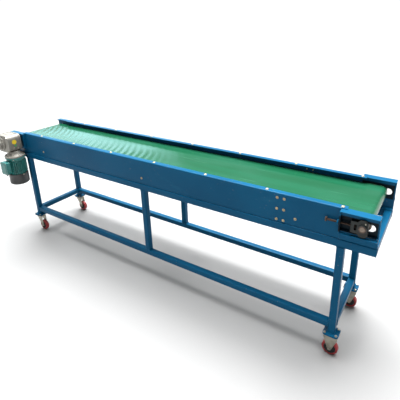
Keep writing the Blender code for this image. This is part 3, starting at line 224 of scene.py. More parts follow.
# %% Finished pieces
def finish_piece(name, mesh, body, finish, sharp=35, bevel=0.0, replaces=()):
    """An object at the origin from a mesh, smooth but for its sharp edges, riding on a body."""
    mesh.shade_smooth()
    mesh.set_sharp_from_angle(angle=math.radians(sharp))
    thing = bpy.data.objects.new(name, mesh)
    bpy.context.scene.collection.objects.link(thing)
    mesh.materials.clear()
    mesh.materials.append(finish.material)
    if bevel:
        modifier = thing.modifiers.new("rounded_edges", "BEVEL")
        modifier.width = bevel
        modifier.segments = 2
        modifier.limit_method = "ANGLE"
        modifier.angle_limit = math.radians(40)
        modifier.use_clamp_overlap = True
    if replaces:
        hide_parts(*replaces)
    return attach(thing, body) if body else thing


def make_piece(name, surfaces, body, finish, **looks):
    """One object from surfaces: doubles merged and normals turned outwards."""
    points, faces, caps = together(surfaces)
    mesh = bpy.data.meshes.new(name)
    mesh.from_pydata(points.tolist(), [], faces.tolist() + [cap.tolist() for cap in caps])
    work = bmesh.new()
    work.from_mesh(mesh)
    bmesh.ops.remove_doubles(work, verts=work.verts, dist=1e-6)
    bmesh.ops.recalc_face_normals(work, faces=work.faces)
    work.to_mesh(mesh)
    work.free()
    return finish_piece(name, mesh, body, finish, **looks)


def trimmed_copy(node, finish, bevel=0.7 * MM):
    """A CAD node's own shape: its loose triangles merged, flat faces made whole, edges slightly rounded."""
    work = bmesh.new()
    work.from_mesh(frame["nodes"][node].data)
    bmesh.ops.remove_doubles(work, verts=work.verts, dist=1e-5)
    flat = math.radians(0.4)
    bmesh.ops.dissolve_limit(work, angle_limit=flat, verts=work.verts, edges=work.edges)
    mesh = bpy.data.meshes.new(f"{node}_finished")
    work.to_mesh(mesh)
    work.free()
    body = frame["nodes"][node]["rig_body"]
    return finish_piece(mesh.name, mesh, body, finish, sharp=30, bevel=bevel, replaces=[node])


# %% [markdown]
# ## Finishes
# A finish is a Principled material whose colour, roughness and fine relief come from noise in the piece's
# own coordinates. The small class below lets shader maths be written as ordinary Python expressions.


# %% Shader expressions
class Value:
    """A shader socket in a Python expression. Each operator adds the Math node that does it."""

    def __init__(self, finish, socket):
        self.finish, self.socket = finish, socket

    def maths(self, operation, *values):
        return self.finish.node("ShaderNodeMath", {"operation": operation}, dict(enumerate(values)))

    def __add__(self, other):
        return self.maths("ADD", self, other)

    def __mul__(self, other):
        return self.maths("MULTIPLY", self, other)

    def __sub__(self, other):
        return self.maths("SUBTRACT", self, other)

    def __rsub__(self, other):
        return self.maths("SUBTRACT", other, self)

    def __truediv__(self, other):
        return self.maths("DIVIDE", self, other)

    def __pow__(self, other):
        return self.maths("POWER", self, other)

    __radd__, __rmul__ = __add__, __mul__

    def sine(self):
        return self.maths("SINE", self)

    def step(self, low, high):
        """0 below low, 1 above high, and a soft step between."""
        settings = {"interpolation_type": "SMOOTHSTEP"}
        return self.finish.node("ShaderNodeMapRange", settings, {0: self, 1: low, 2: high})


class Nodes:
    """A node tree in the making."""

    def __init__(self, tree):
        self.tree = tree

    def node(self, kind, settings=None, values=None, output=0):
        """Any node: its settings first, then its sockets' values or links, and the output that is wanted."""
        made = self.tree.nodes.new(kind)
        for setting, value in (settings or {}).items():
            setattr(made, setting, value)
        for socket, value in (values or {}).items():
            self.plug(made.inputs[socket], value)
        return Value(self, made.outputs[output])

    def plug(self, socket, value):
        if isinstance(value, Value):
            self.tree.links.new(value.socket, socket)
        elif isinstance(value, tuple) and len(value) == 3 and len(socket.default_value) == 4:
            socket.default_value = (*value, 1.0)
        else:
            socket.default_value = value


class Finish(Nodes):
    """A material in the making, named for what it covers, with the record's slot it belongs to."""

    def __init__(self, name, slot, metallic=0.0, **constants):
        self.slot = slot
        self.material = bpy.data.materials.new(name)
        self.material.use_nodes = True
        super().__init__(self.material.node_tree)
        self.shader = self.tree.nodes["Principled BSDF"]
        self.set("Metallic", metallic)
        for socket, value in constants.items():
            self.set(socket.replace("_", " "), value)
        self.place = self.node("ShaderNodeTexCoord", output="Object")

    def set(self, socket, value):
        self.plug(self.shader.inputs[socket], value)
        return self

    def stretched(self, x=1.0, y=1.0, z=1.0):
        """The piece's coordinates, each times its own number, for a pattern that runs one way."""
        return self.node("ShaderNodeMapping", None, {"Vector": self.place, "Scale": (x, y, z)})

    def part(self, axis):
        return self.node("ShaderNodeSeparateXYZ", None, {0: self.place}, "XYZ".index(axis))

    def noise(self, scale, detail=4.0, roughness=0.55, vector=None):
        sizes = {"Scale": scale, "Detail": detail, "Roughness": roughness}
        return self.node("ShaderNodeTexNoise", None, {"Vector": vector or self.place, **sizes})

    def mix(self, factor, first, second):
        """The first colour where the factor is 0, the second where it is 1."""
        values = {0: factor, 6: first, 7: second}
        return self.node("ShaderNodeMix", {"data_type": "RGBA"}, values, 2)

    def relief(self, height, depth, strength=1.0):
        """Fine relief: height in 0 to 1, times depth in metres."""
        values = {"Height": height, "Distance": depth, "Strength": strength}
        return self.set("Normal", self.node("ShaderNodeBump", None, values))


# %% [markdown]
# Blue enamel covers the whole stand and both side panels. Sprayed enamel has a faint orange-peel relief,
# a colour that drifts a little from coat to coat, scuffs, and a few chips down to primer. The tail brackets
# wear it too, and the hollow where the housings slide carries painted shade: it is coloured nearly black.


# %% Blue enamel
def blue_enamel(name, paint_recess_shade=False):
    """Blue enamel. When asked for, painted shade makes it nearly black inside a box round the tail shaft's
    slot.
    """
    paint = Finish(name, "blue_paint", Coat_Weight=0.0, Specular_IOR_Level=0.08)
    drift = paint.noise(2.2, 3).step(0.3, 0.7)
    fine = paint.noise(38, 5)
    colour = paint.mix(drift, (0.002, 0.064, 0.142), (0.003, 0.080, 0.170))
    scuff = paint.noise(9, 6, 0.7, paint.stretched(0.35, 1, 1)).step(0.60, 0.72)
    colour = paint.mix(scuff * 0.35, colour, (0.012, 0.115, 0.21))
    chip = paint.noise(120, 2, 0.4).step(0.735, 0.745) * paint.noise(6, 2).step(0.45, 0.6)
    colour = paint.mix(chip, colour, (0.20, 0.17, 0.14))
    if paint_recess_shade:
        start = frame_tail - np.ptp(corners("near_tail_bracket"), axis=0)[0]
        x, z = paint.part("X"), paint.part("Z") - pivot("tail_spin")[2]
        past_start = x.step(start + 5 * MM, start + 9 * MM)
        past_end = x.step(frame_tail - 9 * MM, frame_tail - 5 * MM)
        inside = past_start * (1 - past_end)
        inside = inside * (1 - (z * z).step((40 * MM) ** 2, (46 * MM) ** 2))
        # Painted shade: the recess under the bracket's flanges is coloured nearly black.
        colour = paint.mix(inside * (0.86 + 0.12 * fine), colour, (0.004, 0.006, 0.006))
    paint.set("Base Color", colour)
    paint.set("Roughness", 0.26 + 0.16 * scuff + 0.10 * fine)
    return paint.relief(paint.noise(900, 2) * 0.5 + fine * 0.5 - chip * 0.5, 0.15 * MM, 0.6)


# %% [markdown]
# The belt's cover is smooth green PVC. It carries long faint rubbing marks, and it doesn't lie quite flat:
# shallow waves cross it, close together towards the head, which is why a light there breaks into arcs.


# %% Belt cover and belt edge
def belt_cover():
    cover = Finish(
        "belt_cover", "belt_green", Coat_Weight=0.15, Coat_Roughness=0.05, Specular_IOR_Level=0.4
    )
    lengthways = cover.noise(14, 5, 0.6, cover.stretched(0.05, 1, 1))
    patch = cover.noise(3.5, 3, 0.5, cover.stretched(0.5, 1, 1)).step(0.35, 0.7)
    colour = cover.mix(lengthways.step(0.35, 0.7), (0.006, 0.070, 0.030), (0.008, 0.088, 0.042))
    colour = cover.mix(patch * 0.35, colour, (0.012, 0.095, 0.055))
    scrape = cover.noise(60, 4, 0.6, cover.stretched(0.03, 1, 1)).step(0.66, 0.74)
    colour = cover.mix(scrape * 0.3, colour, (0.03, 0.16, 0.10))
    cover.set("Base Color", colour)
    cover.set("Roughness", 0.16 + 0.14 * scrape + 0.10 * patch)
    x, y = cover.part("X") - corners("belt")[0][0], cover.part("Y") - centre_y
    wave = ((x + y * 0.7 + y * y * 1.4 + cover.noise(2.2, 2) * 0.05) * 105).sine() * 0.5 + 0.5
    fading = 1 - x.step(1.25, 1.7)
    grain = cover.noise(420, 3)
    return cover.relief(wave * fading + grain * 0.02, 1.8 * MM, 0.8)


def belt_core():
    """The fabric core that shows along the belt's cut edges."""
    core = Finish("belt_core", "belt_green")
    weave = (core.part("X") * 4200).sine() * 0.5 + 0.5
    core.set("Base Color", core.mix(weave * 0.5, (0.50, 0.47, 0.33), (0.36, 0.36, 0.25)))
    core.set("Roughness", 0.75 + 0.1 * core.noise(300))
    return core.relief(weave, 0.2 * MM)


# %% [markdown]
# Bare metals differ mostly in how they were worked. Drawn and turned steel is streaked along or round the
# cut, zinc plate is dull and slightly yellow with a spangle, cast metal is grainy like sand, and bronze
# is bright where the teeth rub.


# %% Metals
def worked_steel(name, slot, colour, shade, stretch, roughness=0.28):
    """Bright steel with fine cutter marks that run one way, and a little staining."""
    steel = Finish(name, slot, metallic=1.0)
    marks = steel.noise(600, 2, 0.5, steel.stretched(*stretch))
    stain = steel.noise(22, 5, 0.65).step(0.52, 0.75)
    steel.set("Base Color", steel.mix(stain * 0.6, colour, shade))
    steel.set("Roughness", roughness + 0.14 * marks + 0.22 * stain)
    return steel.relief(marks, 0.06 * MM, 0.5)


def zinc_plate(name, colour, shade):
    zinc = Finish(name, "zinc_plate", metallic=0.9)
    spangle = zinc.node("ShaderNodeTexVoronoi", None, {"Vector": zinc.place, "Scale": 160.0})
    cloud = zinc.noise(28, 4)
    zinc.set("Base Color", zinc.mix(cloud.step(0.3, 0.7), colour, shade))
    zinc.set("Roughness", 0.34 + 0.12 * spangle + 0.15 * cloud)
    return zinc.relief(cloud * 0.5 + spangle * 0.2, 0.08 * MM, 0.6)


def sand_cast(name, slot, colour, shade, metallic, roughness, grain=0.35):
    """Cast metal: two sizes of sand grain, and darker grime in patches of noise."""
    cast = Finish(name, slot, metallic=metallic)
    coarse, fine = cast.noise(130, 4, 0.6), cast.noise(520, 3)
    grime = cast.noise(14, 5, 0.6).step(0.45, 0.72)
    cast.set("Base Color", cast.mix(grime, colour, shade))
    cast.set("Roughness", roughness + 0.16 * coarse + 0.1 * grime)
    return cast.relief(coarse * 0.6 + fine * 0.4, grain * MM, 0.8)


# %% [markdown]
# The last group is enamel on the motor and fan cover, moulded plastic and the red wheel treads. Each has
# its own grain: spray mist on enamel, a fine spark-eroded texture on mouldings, rubbed dust on rubber.


# %% Enamels, plastic and rubber
def sprayed(name, slot, colour, shade, roughness, coat=0.2):
    enamel = Finish(name, slot, Coat_Weight=coat, Coat_Roughness=0.2)
    cloud, mist = enamel.noise(12, 4), enamel.noise(700, 2)
    dust = enamel.noise(30, 5, 0.7).step(0.55, 0.8)
    colour = enamel.mix(cloud.step(0.3, 0.7), colour, shade)
    enamel.set("Base Color", enamel.mix(dust * 0.25, colour, (0.20, 0.19, 0.16)))
    enamel.set("Roughness", roughness + 0.12 * mist + 0.15 * dust)
    return enamel.relief(mist * 0.6 + cloud * 0.2, 0.12 * MM, 0.6)


def moulded(name, slot, colour, dusty, roughness):
    plastic = Finish(name, slot)
    grain = plastic.noise(800, 3, 0.6)
    rubbed = plastic.noise(26, 5, 0.65).step(0.5, 0.8)
    plastic.set("Base Color", plastic.mix(rubbed * 0.55, colour, dusty))
    plastic.set("Roughness", roughness + 0.15 * rubbed + 0.08 * grain)
    return plastic.relief(grain, 0.08 * MM, 0.7)


blue = blue_enamel("blue_enamel")
shade_painted_blue = blue_enamel("greased_blue_enamel", paint_recess_shade=True)
green_cover = belt_cover()
core_fabric = belt_core()
shaft_steel = worked_steel(
    "turned_steel", "bright_steel", (0.21, 0.17, 0.14), (0.13, 0.09, 0.065), (1, 0.04, 1)
)
bolt_steel = worked_steel(
    "rusty_bolt_steel", "bright_steel", (0.12, 0.085, 0.068), (0.07, 0.045, 0.034), (0.1, 1, 1), 0.45
)
bed_steel = worked_steel(
    "rolled_steel_sheet", "bright_steel", (0.46, 0.47, 0.48), (0.36, 0.34, 0.31), (0.03, 1, 1)
)
rotor_steel = worked_steel(
    "ground_steel", "bright_steel", (0.56, 0.56, 0.55), (0.42, 0.40, 0.36), (1, 1, 0.05)
)
yellow_zinc = zinc_plate("yellow_zinc", (0.46, 0.38, 0.25), (0.34, 0.27, 0.16))
grey_zinc = zinc_plate("grey_zinc", (0.42, 0.40, 0.34), (0.29, 0.28, 0.23))
bearing_iron = sand_cast(
    "bearing_iron", "dark_cast_iron", (0.006, 0.010, 0.009), (0.011, 0.013, 0.010), 0.15, 0.45
)
grey_casting = sand_cast(
    "grey_casting", "cast_aluminium", (0.27, 0.26, 0.23), (0.18, 0.17, 0.15), 0.35, 0.45
)
gear_bronze = sand_cast("gear_bronze", "bronze", (0.60, 0.38, 0.15), (0.42, 0.24, 0.09), 1.0, 0.25, 0.08)
motor_enamel = sprayed("motor_enamel", "motor_green", (0.007, 0.130, 0.120), (0.012, 0.165, 0.150), 0.32)
black_enamel = sprayed("black_enamel", "black_paint", (0.012, 0.014, 0.015), (0.024, 0.026, 0.027), 0.34)
black_moulding = moulded(
    "black_moulding", "black_plastic", (0.015, 0.015, 0.016), (0.065, 0.060, 0.055), 0.45
)
red_rubber = moulded("red_rubber", "red_tread", (0.30, 0.018, 0.020), (0.22, 0.09, 0.075), 0.48)
yellow_disc = moulded("yellow_disc", "cast_aluminium", (0.85, 0.62, 0.03), (0.70, 0.52, 0.10), 0.35)
green_disc = moulded("green_disc", "cast_aluminium", (0.05, 0.42, 0.10), (0.08, 0.34, 0.12), 0.35)
print(len(bpy.data.materials), "finishes")

# %% [markdown]
# ## Camera, floor and light
# The camera stands just past the tail end, well out from the near side and a little above the belt, with
# a wide lens, so the far head end looks small. Its place is measured from the frame's own corners.

# %% Camera
PAST_TAIL, OUT_FROM_RAIL, ABOVE_PANEL = 182.3 * MM, 1703.2 * MM, 877.8 * MM
PITCH_ROLL_TURN = (70.154, 1.294, 33.005)
eye = np.array([frame_tail + PAST_TAIL, rail_low[1] - OUT_FROM_RAIL, panel_top + ABOVE_PANEL])
camera_data = bpy.data.cameras.new("camera")
camera_data.lens = 33.86
camera_data.shift_x = -0.0225
camera_data.shift_y = -0.1133
camera = bpy.data.objects.new("camera", camera_data)
camera.location = eye
camera.rotation_euler = np.radians(PITCH_ROLL_TURN)
bpy.context.scene.collection.objects.link(camera)
bpy.context.scene.camera = camera
bpy.context.scene.view_settings.view_transform = "Standard"
print("camera at", np.round(eye, 3).tolist())

# %% [markdown]
# The floor is one wide plain sheet. A broad soft sun high on the far side lights every upper face and the
# floor, and leaves the near faces in soft shade. A long strip light stands low beyond the head end, where
# the glossy belt mirrors it. A weak panel fills the front. The world is white at the horizon and dim above
# it, so that the belt reflects white only where the strip is.


# %% Floor and lights
def pale_floor():
    """A flat grid of squares, many times wider than the machine."""
    reach = np.linspace(-60, 60, 25)
    x, y = np.meshgrid(reach, reach, indexing="ij")
    mesh = bpy.data.meshes.new("floor")
    points = np.stack([x, y, 0 * x], -1).reshape(-1, 3)
    mesh.from_pydata(points.tolist(), [], grid_faces(25, 25, False, False).tolist())
    floor = bpy.data.objects.new("floor", mesh)
    bpy.context.scene.collection.objects.link(floor)
    finish = Finish("pale_floor", None, Specular_IOR_Level=0.1)
    finish.set("Base Color", finish.mix(finish.noise(0.8), (0.27, 0.27, 0.27), (0.29, 0.29, 0.29)))
    finish.set("Roughness", 0.8 + 0.1 * finish.noise(40))
    mesh.materials.append(finish.material)
    return floor


def lamp(name, kind, power, place, target, colour=(1, 1, 1), size=None):
    """A light that stands at a place and faces a point. An area light has a width and a height."""
    data = bpy.data.lights.new(name, kind)
    data.energy, data.color = power, colour
    if size:
        data.shape = "RECTANGLE"
        data.size, data.size_y = size
    light = bpy.data.objects.new(name, data)
    facing = Vector(target - place).to_track_quat("-Z", "Y")
    light.matrix_world = Matrix.Translation(place) @ facing.to_matrix().to_4x4()
    bpy.context.scene.collection.objects.link(light)
    return light


pale_floor()
bench = np.array([(frame_head + frame_tail) / 2, centre_y, panel_top])
sun = lamp("soft_sun", "SUN", 14, bench + (-0.8, 1.3, 5.0), bench)
sun.data.angle = math.radians(58)
lamp("strip", "AREA", 16, bench + (-3.3, 2.0, 0.95), bench - (0.8, 0, 0), (0.55, 0.86, 1.0), (3.0, 0.5))
lamp("front_fill", "AREA", 1.5, bench + (1.2, -4.2, 1.0), bench - (0, 0, 0.4), (1, 1, 1), (3.0, 2.0))
world = bpy.data.worlds.new("studio")
world.use_nodes = True
sky = Nodes(world.node_tree)
direction = sky.node("ShaderNodeTexCoord", output="Generated")
level = sky.node("ShaderNodeSeparateXYZ", None, {0: direction}, "Z")
strength = 0.22 + 0.83 * (1 - level.step(0.15, 0.24))
sky.plug(world.node_tree.nodes["Background"].inputs["Strength"], strength)
sky.plug(world.node_tree.nodes["Background"].inputs["Color"], (1.0, 1.0, 1.0))
bpy.context.scene.world = world
print("a sun, a strip and a fill")

# %% [markdown]
# ## The stand
# The stand is welded from rolled square tube with rounded corners and open ends. One function makes every
# length: the outer outline runs along the tube and the inner one comes back, so the wall is really there.


# %% Square tubes
TUBE_WALL = 2 * MM
TUBE_CORNER = 6.5 * MM


def square_tube(node):
    """A hollow tube that fills a node's box, along the box's longest side."""
    start, end = corners(node)
    along = int(np.argmax(end - start))
    across = [(along + 1) % 3, (along + 2) % 3]
    size, centre = (end - start)[across], ((start + end) / 2)[across]
    outer = box_outline(*size, TUBE_CORNER, 4, centre)
    inner = box_outline(*(size - 2 * TUBE_WALL), TUBE_CORNER - TUBE_WALL, 4, centre)
    return pipe(outer, inner, "XYZ"[along], start[along], end[along])


tube_nodes = [f"{side}_{part}" for side in SIDES for part in ("top_rail", "lower_rail", "middle_leg")]
tube_nodes += [f"{end}_{part}" for end in ENDS for part in ("cross_tube", "lower_crossbar")]
for node in tube_nodes:
    make_piece(f"{node}_tube", [square_tube(node)], "stand", blue, replaces=[node])
print(len(tube_nodes), "tubes")

# %% [markdown]
# Each end leg stands on a rounded plate that the caster bolts to. The plate is wider than the tube, so the
# leg's box gives the plate, and the tube above it takes its width from a middle leg.

# %% End legs with their plates
PAD_THICKNESS = 8 * MM
PAD_CORNER = 20 * MM
tube_width = np.ptp(corners("near_middle_leg"), axis=0)[0]


def end_leg(node):
    """A rounded plate, and a square tube that stands on it."""
    low, high = corners(node)
    centre = (low + high)[:2] / 2
    width, depth = (high - low)[:2]
    pad = extruded(box_outline(width, depth, PAD_CORNER, 8, centre), "Z", low[2], low[2] + PAD_THICKNESS)
    outer = box_outline(tube_width, tube_width, TUBE_CORNER, 4, centre)
    inner_width = tube_width - 2 * TUBE_WALL
    inner = box_outline(inner_width, inner_width, TUBE_CORNER - TUBE_WALL, 4, centre)
    tube = pipe(outer, inner, "Z", low[2] + PAD_THICKNESS + 0.05 * MM, high[2])
    make_piece(f"{node}_tube", [tube], "stand", blue, replaces=[node])
    return make_piece(f"{node}_pad", [pad], "stand", blue, bevel=1.2 * MM)


corner_legs = [f"{side}_{end}_leg" for side in SIDES for end in ENDS]
for node in corner_legs:
    end_leg(node)
print(len(corner_legs), "end legs")

# %% [markdown]
# The tubes meet in fillet welds. A weld bead is a small half-round carried round the joint, and the
# welder's hand shows as a swell that repeats every few millimetres. All beads are one painted piece. Those
# on the conveyor's end faces are ground flush, so they lie inside the cross tube's faces.

# %% Weld beads
BEAD = 2.4 * MM
BEAD_STATIONS = 120
SWELL = 0.14
STATIONS_PER_SWELL = 6


def weld_bead(centre, axis, width, height):
    """A small circle carried round a rounded rectangle, its size 1 + 0.14 sin of the distance along it."""
    outline = box_outline(width + 0.8 * BEAD, height + 0.8 * BEAD, TUBE_CORNER, 5)
    edge = np.linalg.norm(np.roll(outline, -1, 0) - outline, axis=1)
    distance = np.concatenate([[0], np.cumsum(edge)])
    stations = np.linspace(0, distance[-1], BEAD_STATIONS, endpoint=False)
    closed = np.vstack([outline, outline[:1]])
    path = np.stack([np.interp(stations, distance, closed[:, k]) for k in (0, 1)], -1)
    path = np.hstack([path, np.zeros((len(path), 1))]) @ AXES[axis] + centre
    swell = 1 + SWELL * np.sin(np.arange(BEAD_STATIONS) * 2 * np.pi / STATIONS_PER_SWELL)
    return carried(circle_outline(BEAD, 7), path, AXES[axis][2], swell)


beads = []
rail_under = rail_low[2]
for side in SIDES:
    lower_low, lower_high = corners(f"{side}_lower_rail")
    for leg in ("head_leg", "middle_leg", "tail_leg"):
        x, y, _ = middle(f"{side}_{leg}")
        beads.append(weld_bead((x, y, rail_under), "Z", tube_width, tube_width))
        foot = corners(f"{side}_{leg}")[0][2]
        level = foot if leg == "middle_leg" else foot + PAD_THICKNESS
        beads.append(weld_bead((x, y, level), "Z", tube_width, tube_width))
    for x in (lower_low[0], lower_high[0]):
        y, z = middle(f"{side}_lower_rail")[1:]
        beads.append(weld_bead((x, y, z), "X", tube_width, tube_width))
for end in ENDS:
    for part, flush in (("cross_tube", 3.2 * BEAD), ("lower_crossbar", 0)):
        low, high = corners(f"{end}_{part}")
        x, _, z = middle(f"{end}_{part}")
        for y in (low[1], high[1]):
            beads.append(weld_bead((x, y, z), "Y", high[2] - low[2], high[0] - low[0] - flush))
make_piece("weld_beads", beads, "stand", blue, sharp=60)
print(len(beads), "weld beads")

# %% [markdown]
# ## Side panels
# A side panel is one folded sheet: a lip on top, a tall web and a foot on the rail. The section is drawn as
# a line down the middle of the sheet, given its thickness, and carried the length of the web. At each end
# the lip alone runs on, as a tongue that laps over the end bracket.


# %% Folded sheet
LIP_WIDTH = 36 * MM
FOOT_WIDTH = 34 * MM
BEND = 4.5 * MM


def sheet_outline(line, thickness, bend, steps=6):
    """Both faces of a sheet: its middle line with rounded corners, moved half a thickness each way."""
    path = rounded(line, bend, steps, closed=False)
    keep = np.concatenate([[True], np.linalg.norm(np.diff(path, axis=0), axis=1) > 1e-7])
    path = path[keep]
    along = np.gradient(path, axis=0)
    along /= np.linalg.norm(along, axis=1)[:, None]
    normal = np.stack([-along[:, 1], along[:, 0]], -1) * thickness / 2
    return np.concatenate([path + normal, (path - normal)[::-1]])


bracket_low, bracket_high = corners("near_head_bracket")
web_end = frame_tail - (bracket_high[0] - bracket_low[0]) - 0.3 * MM
web_start = frame_head + (frame_tail - web_end)
for side, sign in SIDES.items():
    low, high = corners(f"{side}_side_panel")
    outer = web[side] - sign * PANEL_SHEET / 2
    top, bottom = panel_top - PANEL_SHEET / 2, low[2] + PANEL_SHEET / 2
    line = [
        (web[side] - sign * LIP_WIDTH, top),
        (outer, top),
        (outer, bottom),
        (web[side] - sign * FOOT_WIDTH, bottom),
    ]
    folded = extruded(sheet_outline(line, PANEL_SHEET, BEND), "X", web_start, web_end)
    lip = sorted((web[side] - sign * 2 * MM, web[side] - sign * LIP_WIDTH))
    tongues = []
    for a, b in ((web_start - 0.1 * MM, low[0]), (high[0], web_end + 0.1 * MM)):
        outline = box_outline(a - b, lip[1] - lip[0], 3 * MM, 3, ((a + b) / 2, sum(lip) / 2))
        tongues.append(extruded(outline, "Z", top - 1.45 * MM, top + 1.45 * MM))
    make_piece(
        f"{side}_folded_panel", [folded], "stand", blue, bevel=0.5 * MM, replaces=[f"{side}_side_panel"]
    )
    make_piece(f"{side}_lip_tongues", tongues, "stand", blue, bevel=0.5 * MM)
for side in SIDES:
    for end in ENDS:
        trimmed_copy(f"{side}_{end}_bracket", shade_painted_blue if end == "tail" else blue)
print("two panels, four brackets")

# %% [markdown]
# ## Belt
# The belt is a closed loop: a run over the bed, a half turn round the tail roller, a run back and a half
# turn round the drum. Its path is a formula of the distance along it, and a thin rounded section is carried
# along that path. The carrying run lies on the bed, and the return run sags a little between its rollers.


# %% Belt loop
BELT_THICKNESS = 2 * MM
RETURN_SAG = 1.5 * MM


def belt_path(radius, head_x, tail_x, shaft_z, return_x):
    """Points (x, z) and outward normals round the loop: two half turns (r cos a, r sin a) joined by two
    straight runs. The lower run drops by the sag times a parabola between neighbouring rollers."""
    turn = np.linspace(np.pi / 2, -np.pi / 2, 33)
    tail = np.stack([tail_x + radius * np.cos(turn), shaft_z + radius * np.sin(turn)], -1)
    head = np.stack([head_x - radius * np.cos(turn), shaft_z - radius * np.sin(turn)], -1)
    run = np.linspace(0, 1, 162)[1:-1]
    top_x = head_x + (tail_x - head_x) * run
    back_x = top_x[::-1]
    rollers = np.array([head_x, *return_x, tail_x])
    span = np.clip(np.searchsorted(rollers, back_x) - 1, 0, len(rollers) - 2)
    share = (back_x - rollers[span]) / (rollers[span + 1] - rollers[span])
    sag = RETURN_SAG * 4 * share * (1 - share) * np.minimum(1, (rollers[span + 1] - rollers[span]) / 0.8)
    top = np.stack([top_x, np.full_like(top_x, shaft_z + radius)], -1)
    back = np.stack([back_x, shaft_z - radius - sag], -1)
    path = np.concatenate([top, tail, back, head])
    normals = np.zeros_like(path)
    normals[: len(top), 1] = 1
    normals[len(top) + len(tail) : -len(head), 1] = -1
    normals[len(top) : len(top) + len(tail)] = np.stack([np.cos(turn), np.sin(turn)], -1)
    normals[-len(head) :] = -np.stack([np.cos(turn), np.sin(turn)], -1)
    return path, normals


belt_low, belt_high = corners("belt")
belt_radius = (belt_high[2] - belt_low[2]) / 2
shaft_z = pivot("head_spin")[2]
head_x, tail_x = pivot("head_spin")[0], pivot("tail_spin")[0]
return_x = [pivot(f"{place}_return_spin")[0] for place in ("head", "middle", "tail")]
path, normals = belt_path(belt_radius, head_x, tail_x, shaft_z, return_x)


def along_loop(section):
    """A closed section of (y, depth below the outer face) carried round the belt's loop."""
    y, depth = np.asarray(section, float).T
    x = path[:, :1] - normals[:, :1] * depth
    z = path[:, 1:] - normals[:, 1:] * depth
    points = np.stack([x, np.broadcast_to(y, x.shape), z], -1).reshape(-1, 3)
    return points, grid_faces(len(path), len(y), True, True), []


def strip(low_y, high_y, top, bottom, columns):
    """The outline of a flat strip, with points across both faces so that it can bend and shade well."""
    across = np.linspace(low_y, high_y, columns)
    upper = np.stack([across, np.full(columns, top)], -1)
    lower = np.stack([across[::-1], np.full(columns, bottom)], -1)
    return np.concatenate([upper, lower])


EDGE = 1.2 * MM
edge_low, edge_high = belt_low[1] + EDGE, belt_high[1] - EDGE
cover = strip(edge_low, edge_high, 0, BELT_THICKNESS, 12)
edges = [
    strip(belt_low[1], edge_low - 0.01 * MM, 0.25 * MM, BELT_THICKNESS - 0.15 * MM, 3),
    strip(edge_high + 0.01 * MM, belt_high[1], 0.25 * MM, BELT_THICKNESS - 0.15 * MM, 3),
]
belt = make_piece("belt_cover_loop", [along_loop(cover)], None, green_cover, sharp=50, replaces=["belt"])
belt_edges = make_piece("belt_cut_edges", [along_loop(edge) for edge in edges], None, core_fabric, sharp=50)
for loop in (belt, belt_edges):
    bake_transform(loop)
loop_length = np.linalg.norm(np.roll(path, -1, 0) - path, axis=1).sum()
print("belt loop", len(path), "stations,", round(loop_length, 3), "m round its outer face")

# %% [markdown]
# ## Fasteners
# Round-head bolts with yellow zinc hold the panels. A head is a quarter ellipse spun round, over a thin
# washer. Hexagon heads are a formula too: the radius follows the six flats, and where that radius passes
# the chamfer's cone, the top face drops away at thirty degrees, as on a turned bolt.


# %% Bolt heads
def round_bolt(centre, axis, sign, radius=7.6 * MM, height=3.6 * MM):
    """A washer with a bevelled rim, and a head (r cos t, h sin t) on it, growing towards sign x axis."""
    t = np.linspace(0, np.pi / 2, 9)
    washer = 1.2 * MM
    rim = radius + 1.7 * MM
    under = [
        (0, -0.3 * MM), (rim, -0.3 * MM), (rim, 0.8 * washer), (rim - 0.3 * MM, washer), (radius, washer)
    ]
    dome = np.stack([radius * np.cos(t), washer + 0.4 * MM + height * np.sin(t)], -1)
    dome[-1, 0] = 0
    profile = np.concatenate([under, dome]) * (1, sign)
    return turned(profile, axis, centre, 28)


def hexagon_head(centre, axis, sign, across, height, washer=0.0):
    """Radius a / cos(t mod 60 - 30 degrees) round the flats; top lowered by tan 30 per step past a."""
    t = np.linspace(0, 2 * np.pi, 48, endpoint=False)
    flats = across / 2 / np.cos((t % (np.pi / 3)) - np.pi / 6)
    inner = 0.94 * across / 2
    top = washer + height - (flats - inner) * math.tan(math.pi / 6)
    zero, rim, crown = 0 * t, 1.12 * across / 2 + 0 * t, washer + height + 0 * t
    radii = np.stack([zero, rim, rim, flats, flats, inner + zero, zero], 1)
    heights = np.stack([zero, zero, washer + zero, washer + zero, top, crown, crown], 1)
    if not washer:
        radii, heights = radii[:, [0, 3, 4, 5, 6]], heights[:, [0, 3, 4, 5, 6]]
    local = np.stack([radii * np.cos(t)[:, None], radii * np.sin(t)[:, None], sign * heights], -1)
    return local.reshape(-1, 3) @ AXES[axis] + centre, grid_faces(48, radii.shape[1], True, False), []


def socket_screw(centre, axis, sign, radius=4.5 * MM, height=4 * MM):
    """A cap screw: a knurl-free cylinder with broken edges and a hexagon hole sunk into its top."""
    t = np.linspace(0, 2 * np.pi, 24, endpoint=False)
    key = 0.52 * radius / np.cos((t % (np.pi / 3)) - np.pi / 6)
    ring = np.ones(24)
    radii = np.stack([0 * t, radius * ring, radius * ring, 0.93 * radius * ring, key, key, 0 * t], 1)
    levels = np.array([-0.3 * MM, -0.3 * MM, 0.9 * height, height, height, 0.4 * height, 0.4 * height])
    heights = np.broadcast_to(sign * levels, radii.shape)
    local = np.stack([radii * np.cos(t)[:, None], radii * np.sin(t)[:, None], heights], -1)
    return local.reshape(-1, 3) @ AXES[axis] + centre, grid_faces(24, 7, True, False), []


